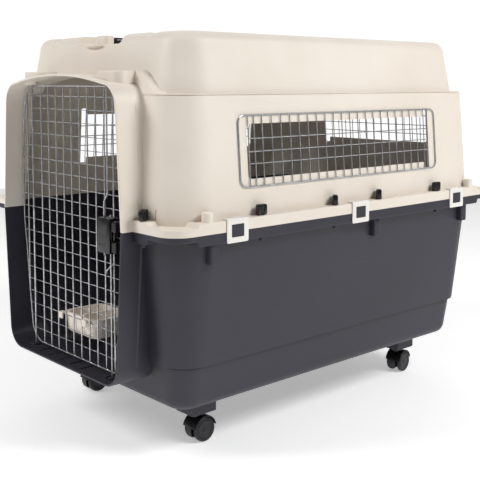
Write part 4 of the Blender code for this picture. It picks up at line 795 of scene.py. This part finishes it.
class CRATE_OT_upper_shell(bpy.types.Operator):
    """Mould the cream upper half shell with its roof, windows and doorway"""
    bl_idname = "crate.upper_shell"
    bl_label = "Upper shell"

    def panel_cutter(self):
        """Everything above the wall's top line, which climbs to the front panel in an S curve."""
        span = PANEL_FOOT_HALF - PANEL_TOP_HALF
        right = [(PANEL_FOOT_HALF - span * step / 14,
                  STEP_Z + (PANEL_TOP_Z - STEP_Z) * ease(step, 0, 14)) for step in range(15)]
        line = [(0.5, STEP_Z)] + right + [(-x, z) for x, z in reversed(right)] + [(-0.5, STEP_Z)]
        return slab(line + [(-0.5, 0.9), (0.5, 0.9)], (-0.7, 0.7))

    def groove(self, x, extra):
        """Soft-edged roof groove, or the rib under it when extra is a wall."""
        half = GROOVE_HALF + extra
        points = []
        for step in range(-8, 9):
            share = step / 8
            depth = GROOVE_DEPTH * (0.5 + 0.5 * math.cos(math.pi * share)) + extra
            points.append((x + share * half, ROOF_Z + 0.0002 - depth))
        points += [(x + half, ROOF_Z + 0.03), (x - half, ROOF_Z + 0.03)]
        return slab(points, (-0.6, 0.6))

    def socket_block(self, side):
        """Block on the front panel at one side of the doorway, its front corners well rounded."""
        block = box((side * 0.105, side * 0.1803), (-0.4858, -0.430), (0.679, PANEL_TOP_Z - 0.0007))
        round_edges(block, [e for e in edges_along(block, "z")
                            if all(v.co.y < -0.48 for v in e.verts)], 0.018, 7)
        round_edges(block, [e for e in square_edges(block)
                            if abs(e.verts[0].co.z - e.verts[1].co.z) < 1e-6
                            and min(v.co.y for v in e.verts) < -0.44], 0.0022, 3)
        return block

    def window(self, corner, half, lobe_end, place, low_z=WINDOW_LOW_Z, high_z=WINDOW_HIGH_Z):
        """Window opening and the pair of lobes near one end, as two cutters."""
        middle = (low_z + high_z) / 2
        rise = (high_z - low_z) / 2
        lobe = lobe_end * (half + 0.005 - 0.009)
        shapes = ((0.0, half, rise, corner), (lobe, 0.009, rise + 0.0155, 0.006))
        for centre, wide, high, radius in shapes:
            cutter = rounded_block(wide, high, (-0.08, 0.08), radius, 6, (centre, middle))
            yield turned(cutter, place)

    def execute(self, context):
        sizes = context.scene.crate_sizes
        corner = sizes.body_corner
        inner = corner - WALL
        low_z = SEAM_Z + GAP
        lean = ROOF_LEAN / (ROOF_Z - ROOF_EDGE - STEP_Z)

        def roof_inset(z):
            return max(0.0, z - STEP_Z) * lean

        body = leaning_block(BODY_HALF_X, BODY_HALF_Y, (low_z, PANEL_TOP_Z), corner, wall_inset,
                             (LEDGE_Z, STEP_Z))
        roof = leaning_block(ROOF_HALF_X, ROOF_HALF_Y, (STEP_Z - WALL, ROOF_Z), ROOF_CORNER,
                             roof_inset)
        round_edges(roof, level_edges(roof, ROOF_Z), ROOF_EDGE, 8)
        line = rounded_block(0.4, 0.52, (STEP_Z - 0.0030, STEP_Z - 0.0012), 0.05, 4)
        core = leaning_block(BODY_HALF_X, BODY_HALF_Y, (STEP_Z - 0.006, STEP_Z), corner,
                             lambda z: wall_inset(STEP_Z) + 0.0016)
        parting_line = carve(line, [(core, False),
                                    (box((-0.5, 0.5), (-0.6, -0.450), (0.6, 0.8)), False)])
        steps = [(parting_line, False),
                 (self.panel_cutter(), False),
                 (box((-0.5, 0.5), (-0.38, 0.7), (STEP_Z, 0.9)), False),
                 (roof, True),
                 (flange((low_z, LEDGE_Z), LEDGE_Z, 0.0085, 0.0), True),
                 (tunnel(upper_tunnel_outline(low_z, 0.0), (0.725, 0.690)), True)]
        for side in (-1, 1):
            steps.append((self.socket_block(side), True))
            for end in (-1, 1):
                x, y = side * BOSS_X, MID_Y + end * BOSS_OFFSET
                steps.append((rod((x, y, LEDGE_Z - WALL), (x, y, LEDGE_Z + 0.018), 0.0105, 28,
                                  0.0022), True))
        cavity = leaning_block(BODY_HALF_X - WALL, BODY_HALF_Y - WALL,
                               (SEAM_Z - WALL, STEP_Z - WALL), inner, wall_inset, (LEDGE_Z,))
        attic = leaning_block(ROOF_HALF_X - WALL, ROOF_HALF_Y - WALL,
                              (STEP_Z - WALL * 2, ROOF_Z - WALL), ROOF_CORNER - WALL, roof_inset)
        round_edges(attic, level_edges(attic, ROOF_Z - WALL), ROOF_EDGE - WALL, 8)
        tub_half = RECESS_HALF + WALL
        tub = box((-tub_half, tub_half), (-0.50, RECESS_BACK_Y + WALL),
                  (ROOF_Z - RECESS_DEPTH - WALL, ROOF_Z + WALL))
        room = carve(cavity, [(attic, True), (tub, False), (self.groove(-GROOVE_X, WALL), False),
                              (self.groove(GROOVE_X, WALL), False)])
        passage = slab(upper_tunnel_outline(SEAM_Z - WALL, WALL),
                       (FRONT_Y - WALL, FRONT_Y + TUNNEL_REACH + WALL))
        recess = box((-RECESS_HALF, RECESS_HALF), (-0.50, RECESS_BACK_Y),
                     (ROOF_Z - RECESS_DEPTH, 0.85))
        round_edges(recess, [e for e in recess.edges if all(v.co.z < 0.81 for v in e.verts)
                             and not all(v.co.y < -0.49 for v in e.verts)], 0.006, 4)
        steps += [(room, False), (passage, False), (recess, False)]
        steps += [(self.groove(side * GROOVE_X, 0.0), False) for side in (-1, 1)]
        # Shallow oval lip at the front of the recess floor
        lip = spun(((0.0, -0.0045), (0.012, -0.0042), (0.022, -0.0032), (0.029, -0.0016),
                    (0.032, 0.0), (0.029, 0.0011), (0.022, 0.0018), (0.0, 0.0022)),
                   Matrix.Translation((-0.006, -0.4155, 0.7975)) @ Matrix.Diagonal((1, 0.22, 1, 1)))
        steps.append((lip, True))
        # Narrow slot in the wall beside the right front wing nut
        steps.append((box((0.2605, 0.2635), (-0.475, -0.458), (0.4735, 0.4925)), False))
        for side in (1, -1):
            place = Matrix(((0, 0, 1, side * BODY_HALF_X), (1, 0, 0, MID_Y + side * WINDOW_MID),
                            (0, 1, 0, 0), (0, 0, 0, 1)))
            steps += [(tool, False) for tool in
                      self.window(sizes.window_corner, WINDOW_HALF, side, place)]
        place = Matrix(((1, 0, 0, 0), (0, 0, -1, MID_Y + BODY_HALF_Y), (0, 1, 0, 0), (0, 0, 0, 1)))
        steps += [(tool, False) for tool in
                  self.window(sizes.window_corner, REAR_WINDOW_HALF, -1, place,
                              REAR_WINDOW_LOW_Z, REAR_WINDOW_HIGH_Z)]
        boss_z = (ROOF_Z - RECESS_DEPTH - WALL / 2, ROOF_Z - 0.0015)
        for y_range in ((-0.4035, -0.3795), (-0.2489, -0.2249)):
            boss = box((-0.020, 0.020), y_range, boss_z)
            round_edges(boss, edges_along(boss, "z"), 0.008, 6)
            round_edges(boss, level_edges(boss, boss_z[1]), 0.003, 3)
            steps.append((boss, True))
        for x, y in ((HINGE_X, HINGE_ROD_Y), (UPPER_ROD_X, LATCH_ROD_Y)):
            ceiling = tunnel_ceiling(x, WALL)
            steps.append((rod((x, y, ceiling - WALL), (x, y, ceiling + WALL),
                              SOCKET_PAD_RADIUS, 32, 0.0012), True))
        ceiling = tunnel_ceiling(UPPER_ROD_X, WALL)
        steps.append((rod_slot(UPPER_ROD_X, (ceiling - 0.010, ceiling)), False))
        piece("upper_shell_moulded", carve(body, steps), "cream", "crate", ["upper_shell"],
              flat_shading=True)
        return {"FINISHED"}


class CRATE_OT_window_nets(bpy.types.Operator):
    """Weld the three window nets from round wire"""
    bl_idname = "crate.window_nets"
    bl_label = "Window nets"

    def net(self, sizes, name, half, mid, turn, place, z_range=(NET_LOW_Z, NET_HIGH_Z), raised=0.0):
        """One net, run the other way round at a turn of -1.

        place(across, z, stand-off) puts a point on the net's wall.
        """
        outer = half - sizes.net_frame / 2
        low, high = z_range[0] + sizes.net_frame / 2, z_range[1] - sizes.net_frame / 2
        uprights = [margin - half for margin in NET_FIRST_UPRIGHTS]
        while uprights[-1] < half - NET_LAST_UPRIGHT - sizes.net_pitch * 0.7:
            uprights.append(uprights[-1] + sizes.net_pitch)
        uprights.append(half - NET_LAST_UPRIGHT)
        uprights = [mid + turn * value for value in uprights]
        behind = GAP + sizes.net_wire / 2
        radius = sizes.net_wire / 2
        runs = []
        for across in uprights:
            line = [place(across, z, behind + sizes.net_wire * 0.55) for z in (low, high)]
            runs.append((line, radius, False))
        for z in NET_ROWS:
            line = [place(across, z + raised, behind) for across in (uprights[0], uprights[-1])]
            runs.append((line, radius, False))
        loop = [(-outer, low), (outer, low), (outer, high), (-outer, high)]
        ring = [place(mid + across, z, GAP + sizes.net_frame / 2) for across, z in loop]
        runs.append((bent(ring, 0.018, True, 7), sizes.net_frame / 2, True))
        piece(name + "_welded", wires(runs), "wire", "crate", [name])

    def execute(self, context):
        sizes = context.scene.crate_sizes
        for side, label in ((1, "right"), (-1, "left")):
            def on_side(across, z, stand_off, side=side):
                return (side * (BODY_HALF_X - wall_inset(z) + stand_off), across, z)
            mid = MID_Y + side * SIDE_NET_MID
            self.net(sizes, f"window_net_{label}", SIDE_NET_HALF, mid, side, on_side)

        def on_rear(across, z, stand_off):
            return (across, MID_Y + BODY_HALF_Y - wall_inset(z) + stand_off, z)
        self.net(sizes, "window_net_rear", REAR_NET_HALF, 0.0, -1, on_rear,
                 (REAR_NET_LOW_Z, REAR_NET_HIGH_Z), REAR_NET_RAISE)
        return {"FINISHED"}


class CRATE_OT_door(bpy.types.Operator):
    """Weld the door from its outer wire, uprights, crosswires and hinge rod"""
    bl_idname = "crate.door"
    bl_label = "Wire door"

    def half_width(self, z):
        """Half the door's width at a height."""
        for (high_z, high_half), (low_z, low_half) in zip(DOOR_OUTLINE, DOOR_OUTLINE[1:]):
            if low_z <= z <= high_z:
                return low_half + (high_half - low_half) * (z - low_z) / (high_z - low_z)
        return DOOR_OUTLINE[0][1]

    def reach(self, x):
        """Lowest and highest z of an upright at x, where it meets the outer wire."""
        bottom, top = (round(DOOR_OUTLINE[index][0] * 1000) for index in (-1, 0))
        inside = [z / 1000 for z in range(bottom, top + 1)
                  if self.half_width(z / 1000) >= abs(x)]
        return inside[0], inside[-1]

    def execute(self, context):
        sizes = context.scene.crate_sizes
        front = DOOR_Y + 0.0003
        back = front + sizes.door_upright * 0.45
        runs = []
        for x in DOOR_COLUMNS:
            low, high = self.reach(x)
            runs.append(([(x, front, low), (x, front, high)], sizes.door_upright / 2, False))
        for z in DOOR_ROWS:
            half = self.half_width(z)
            runs.append(([(-half, back, z), (half, back, z)], sizes.door_row / 2, False))
        right = [(half, front, z) for z, half in DOOR_OUTLINE]
        loop = right + [(-x, y, z) for x, y, z in reversed(right)]
        runs.append((bent(loop, 0.010, True, 3), sizes.door_frame / 2 * 0.8, True))
        hook = [(0.140, front, 0.373), (0.140, front - 0.006, 0.371),
                (0.131, front - 0.009, 0.362), (0.125, front - 0.004, 0.356)]
        catch = [(0.152, front, 0.2205), (0.152, front - 0.004, 0.2175),
                 (0.152, front - 0.004, 0.190), (0.152, front, 0.187)]
        runs += [(bent(line, 0.003), 0.0016, False) for line in (hook, catch)]
        piece("door_grille_welded", wires(runs), "wire", "door", ["door_grille"])
        low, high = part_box("door_hinge_rod")
        middle = (low + high) / 2
        pin = rod((middle.x, middle.y, low.z), (middle.x, middle.y, high.z),
                  (high.x - low.x) / 2, 16, 0.0006)
        piece("door_hinge_pin", pin, "wire", "door", ["door_hinge_rod"])
        return {"FINISHED"}


class CRATE_OT_latch(bpy.types.Operator):
    """Build the latch: housing, back plate, finger grips, rods and springs"""
    bl_idname = "crate.latch"
    bl_label = "Latch"
    grip_x = 0.1523

    def housing(self):
        """Open box with three grooves across its face."""
        low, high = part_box("latch_housing")
        inside = box((low.x + 0.003, high.x + 0.010), (low.y + 0.003, high.y + 0.010),
                     (low.z + 0.0033, high.z - 0.0033))
        steps = [(inside, False)]
        for step in range(3):
            z = low.z + 0.017 + step * 0.017
            steps.append((box((low.x + 0.005, high.x - 0.012), (low.y - 0.002, low.y + 0.0008),
                              (z - 0.0010, z + 0.0010)), False))
        return carve(box(*zip(low, high), 0.0022, 3), steps)

    def grip(self, label):
        """Ribbed finger grip with the arm that carries its rod."""
        low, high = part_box(f"latch_slider_{label}")
        arm_z = ((high.z - 0.0089, high.z - 0.0009) if label == "upper"
                 else (low.z + 0.0009, low.z + 0.0089))
        arm = box((low.x, self.grip_x + 0.003), (low.y + 0.0006, high.y - 0.0006), arm_z)
        steps = [(arm, True)]
        for step in range(4):
            z = low.z + (high.z - low.z) * (step + 1) / 5
            steps.append((box((self.grip_x + 0.0025, high.x + 0.002),
                              (low.y - 0.002, low.y + 0.0011), (z - 0.0008, z + 0.0008)), False))
        grip = box((self.grip_x, high.x), (low.y, high.y), (low.z, high.z), 0.0018, 3)
        return carve(grip, steps)

    def bar(self, label):
        """Latch rod; the upper one is cranked towards the housing."""
        low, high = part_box(f"latch_rod_{label}")
        if label == "upper":
            line = [(UPPER_ROD_X, high.z), (UPPER_ROD_X, 0.509), (0.121, 0.497), (0.121, low.z)]
        else:
            line = [(LOWER_ROD_X, high.z), (LOWER_ROD_X, low.z)]
        line = [(x, LATCH_ROD_Y, z) for x, z in line]
        return wires([(bent(line, 0.006, False, 6), 0.00175, False)])

    def coil(self, label, turns=5, count=60):
        """Spring wound round the vertical between a grip and the middle of the housing."""
        low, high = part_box(f"latch_spring_{label}")
        middle = (low + high) / 2
        line = []
        for step in range(count + 1):
            angle = math.tau * turns * step / count
            line.append((middle.x + 0.0027 * math.cos(angle), middle.y + 0.0027 * math.sin(angle),
                         low.z + 0.0004 + (high.z - low.z - 0.0008) * step / count))
        return wires([(line, 0.0004, False)], 1)

    def execute(self, context):
        piece("latch_housing_moulded", self.housing(), "black", "door", ["latch_housing"])
        plate = box(*zip(*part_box("latch_back_plate")), 0.0018, 3)
        piece("latch_back_moulded", plate, "black", "door", ["latch_back_plate"])
        for label in ("upper", "lower"):
            body = f"latch_{label}"
            piece(f"latch_grip_{label}", self.grip(label), "black", body, [f"latch_slider_{label}"])
            piece(f"latch_bar_{label}", self.bar(label), "wire", body, [f"latch_rod_{label}"])
            piece(f"latch_coil_{label}", self.coil(label), "wire", "door",
                  [f"latch_spring_{label}"])
        return {"FINISHED"}


class CRATE_OT_side_clips(bpy.types.Operator):
    """Mould the six white side clips"""
    bl_idname = "crate.side_clips"
    bl_label = "Side clips"

    def execute(self, context):
        for side, label in ((1, "right"), (-1, "left")):
            inner = side * (FLANGE_HALF_X + GAP)
            for index in (1, 2, 3):
                low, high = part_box(f"side_clip_{label}_{index}")
                back, outer = (low.x, high.x) if side > 0 else (high.x, low.x)
                mid_y = (low.y + high.y) / 2
                plate = box((inner, outer), (low.y, high.y), (low.z, high.z))
                round_edges(plate, [e for e in edges_along(plate, "x")
                                    if e.verts[0].co.z < SEAM_Z], 0.0035, 5)
                round_edges(plate, square_edges(plate), 0.0008, 3)
                top = box((back, inner + side * 0.0012), (low.y, high.y),
                          (high.z - 0.0025, high.z), 0.0011, 3)
                window = box((inner - side * 0.01, outer + side * 0.01),
                             (mid_y - CLIP_WINDOW_HALF, mid_y + CLIP_WINDOW_HALF),
                             CLIP_WINDOW_Z, 0.002, 3)
                clip = carve(plate, [(top, True), (window, False)])
                piece(f"side_clip_{label}_{index}_moulded", clip, "white",
                      f"clip_{label}_{index}", [f"side_clip_{label}_{index}"])
        return {"FINISHED"}


class CRATE_OT_wing_nuts(bpy.types.Operator):
    """Mould the ten black wing nuts"""
    bl_idname = "crate.wing_nuts"
    bl_label = "Wing nuts"

    def execute(self, context):
        for name, x, y, turn in nut_places():
            wing = box((-0.0115, 0.0115), (-0.00475, 0.00475), (0.0, 0.021))
            round_edges(wing, edges_along(wing, "y"), 0.0045, 5)
            round_edges(wing, square_edges(wing), 0.0013, 3)
            steps = [(rod((0, 0, 0), (0, 0, 0.0045), 0.0068, 28, 0.001), True)]
            for across in (-0.0042, 0.0042):
                for ahead in (-0.0046, 0.0046):
                    rib = rod((across, ahead, 0.003), (across, ahead, 0.0185), 0.0011, 12, 0.0004)
                    steps.append((rib, True))
            place = (Matrix.Translation((x, y, LEDGE_Z + GAP))
                     @ Matrix.Rotation(math.radians(turn), 4, "Z"))
            nut = turned(carve(wing, steps), place)
            piece(f"wing_nut_{name}_moulded", nut, "black", f"nut_{name}", [f"wing_nut_{name}"])
            zinc_plate(f"stud_{name}")
        return {"FINISHED"}


class CRATE_OT_casters(bpy.types.Operator):
    """Build the four twin-wheel casters"""
    bl_idname = "crate.casters"
    bl_label = "Casters"

    # The wheel's profile as (radius, height) for a wheel of 25 mm, from its outer face inwards
    tread = ((0.0, 0.0064), (0.0050, 0.0064), (0.0062, 0.0052), (0.0145, 0.0048), (0.0160, 0.0058),
             (0.0180, 0.0060), (0.0188, 0.0050), (0.0196, 0.0050), (0.0205, 0.0060),
             (0.0225, 0.0057), (0.0243, 0.0042), (0.0250, 0.0020), (0.0250, -0.0020),
             (0.0243, -0.0042), (0.0225, -0.0058), (0.0190, -0.0060), (0.0050, -0.0060),
             (0.0, -0.0060))

    def hood(self, wheel):
        """Web, fenders, neck and collar of one caster in its own frame."""
        half = 0.0201
        web_half = 0.0075
        along = (CASTER_TRAIL - 0.06, CASTER_TRAIL + 0.06)
        base = rod((-half, CASTER_TRAIL, wheel), (half, CASTER_TRAIL, wheel), wheel + 0.0037, 48,
                   0.0016)
        steps = []
        for side in (-1, 1):
            bay = (side * web_half, side * (half + WALL))
            ends = [(x, CASTER_TRAIL, wheel) for x in bay]
            steps.append((rod(*ends, wheel + 0.001, 48), False))
            steps.append((box(bay, along, (-WALL, wheel + 0.006)), False))
        steps.append((box((-0.05, 0.05), along, (-WALL, 0.013)), False))
        steps.append((rod((0, 0, wheel + 0.0125), (0, 0, 0.0608), 0.006, 28), True))
        steps.append((rod((0, 0, wheel + 0.026), (0, 0, 0.0617), 0.011, 32, 0.001), True))
        steps.append((rod((0, 0, 0.0568), (0, 0, 0.0897), 0.005, 20), True))
        return carve(base, steps)

    def execute(self, context):
        wheel = context.scene.crate_sizes.wheel_radius
        profile = [(radius * wheel / 0.025, height) for radius, height in self.tread]
        for name, x, y, turn in caster_places():
            place = Matrix.Translation((x, y, 0.0)) @ Matrix.Rotation(turn, 4, "Z")
            hood = turned(self.hood(wheel), place)
            piece(f"caster_hood_{name}_moulded", hood, "black", f"caster_{name}",
                  [f"caster_hood_{name}"])
            zinc_plate(f"axle_{name}")
            for side, label in ((1, "a"), (-1, "b")):
                stand = (Matrix.Translation((side * WHEEL_X, CASTER_TRAIL, wheel))
                         @ Matrix.Rotation(math.radians(90 * side), 4, "Y"))
                tyre = spun(profile, place @ stand, 48)
                piece(f"wheel_{name}_{label}_moulded", tyre, "wheel", f"wheel_{name}_{label}",
                      [f"wheel_{name}_{label}"])
        return {"FINISHED"}


class CRATE_OT_bowl(bpy.types.Operator):
    """Mould the hook-on double bowl"""
    bl_idname = "crate.bowl"
    bl_label = "Feeding bowl"

    def execute(self, context):
        low_z, high_z = 0.206, 0.247
        mid_x, mid_y = 0.007, -0.4212
        bowl = rounded_block(0.061, 0.049, (low_z, high_z), 0.020, 10, (mid_x, mid_y))
        cut_planes(bowl, "z", (high_z - 0.0045, high_z - 0.0055))
        for vert in bowl.verts:
            if vert.co.z < high_z - 0.005:
                shrink = 0.972 - 0.05 * (high_z - vert.co.z) / (high_z - low_z)
                vert.co.x = mid_x + (vert.co.x - mid_x) * shrink
                vert.co.y = mid_y + (vert.co.y - mid_y) * shrink
        round_edges(bowl, level_edges(bowl, low_z), 0.006, 4)
        round_edges(bowl, level_edges(bowl, high_z), 0.0012, 2)
        steps = []
        for side in (-1, 1):
            cup_x = mid_x + side * 0.029
            cup = rounded_block(0.0262, 0.0445, (low_z + 0.0025, high_z + 0.02), 0.0185, 10,
                                (cup_x, mid_y))
            for vert in cup.verts:
                if vert.co.z < high_z:
                    vert.co.x = cup_x + (vert.co.x - cup_x) * 0.86
                    vert.co.y = mid_y + (vert.co.y - mid_y) * 0.92
            round_edges(cup, level_edges(cup, low_z + 0.0025), 0.007, 5)
            steps.append((cup, False))
        hook_z = DOOR_ROWS[BOWL_HOOK_ROW] + 0.0016
        for x in (-0.051, 0.039):
            wide = (x - 0.007, x + 0.007)
            steps.append((box(wide, (-0.4768, -0.466), (hook_z, hook_z + 0.003), 0.0008), True))
            steps.append((box(wide, (-0.4768, -0.4738), (hook_z - 0.011, hook_z + 0.003), 0.0008),
                          True))
        piece("feeding_bowl_moulded", carve(bowl, steps), "cream", "bowl", ["feeding_bowl"])
        return {"FINISHED"}


class CRATE_OT_handle(bpy.types.Operator):
    """Mould the ribbed folding carry handle"""
    bl_idname = "crate.handle"
    bl_label = "Carry handle"

    def execute(self, context):
        front, back = HANDLE_FRONT_Y, HANDLE_BACK_Y
        pivot_x, pivot_z, grip_x, radius = -0.014, 0.8085, 0.018, 0.0065
        grip = rod((grip_x, front, pivot_z), (grip_x, back, pivot_z), radius, 32, 0.0012)
        steps = []
        for start, away in ((front, 1), (back, -1)):
            leg = box((pivot_x - 0.0045, grip_x), (start, start + away * 0.0097),
                      (pivot_z - radius, pivot_z + radius), 0.0014, 3)
            steps.append((leg, True))
            pin = rod((pivot_x, start + away * 0.005, pivot_z),
                      (pivot_x, start - away * 0.0117, pivot_z), 0.0025, 20)
            steps.append((pin, True))
        ribs = 15
        for step in range(ribs):
            y = front + 0.018 + (back - front - 0.036) * step / (ribs - 1)
            groove = rod((grip_x, y - 0.0013, pivot_z), (grip_x, y + 0.0013, pivot_z),
                         radius + 0.002, 32)
            core = rod((grip_x, y - 0.0014, pivot_z), (grip_x, y + 0.0014, pivot_z),
                       radius - 0.0009, 32)
            steps.append((carve(groove, [(core, False)]), False))
        piece("carry_handle_moulded", carve(grip, steps), "black", "handle", ["carry_handle"])
        return {"FINISHED"}


class CRATE_PT_panel(bpy.types.Panel):
    """Steps that build the crate"""
    bl_label = "Pet travel crate"
    bl_idname = "CRATE_PT_panel"
    bl_space_type = "VIEW_3D"
    bl_region_type = "UI"
    bl_category = "Crate"

    def draw(self, context):
        layout = self.layout
        for group in (context.scene.crate_sizes, context.scene.crate_colours):
            for key in group.bl_rna.properties.keys():
                if key not in ("rna_type", "name"):
                    layout.prop(group, key)
        for step in STEPS:
            layout.operator(step.bl_idname)


STEPS = (CRATE_OT_stage, CRATE_OT_lower_shell, CRATE_OT_upper_shell, CRATE_OT_window_nets,
         CRATE_OT_door, CRATE_OT_latch, CRATE_OT_side_clips, CRATE_OT_wing_nuts, CRATE_OT_casters,
         CRATE_OT_bowl, CRATE_OT_handle)
CLASSES = (CrateSizes, CrateColours, *STEPS, CRATE_PT_panel)


def register():
    for item in CLASSES:
        bpy.utils.register_class(item)
    bpy.types.Scene.crate_sizes = bpy.props.PointerProperty(type=CrateSizes)
    bpy.types.Scene.crate_colours = bpy.props.PointerProperty(type=CrateColours)


def unregister():
    del bpy.types.Scene.crate_sizes
    del bpy.types.Scene.crate_colours
    for item in reversed(CLASSES):
        bpy.utils.unregister_class(item)


def main():
    register()
    for step in STEPS:
        group, action = step.bl_idname.split(".")
        getattr(getattr(bpy.ops, group), action)()


if __name__ == "__main__":
    main()
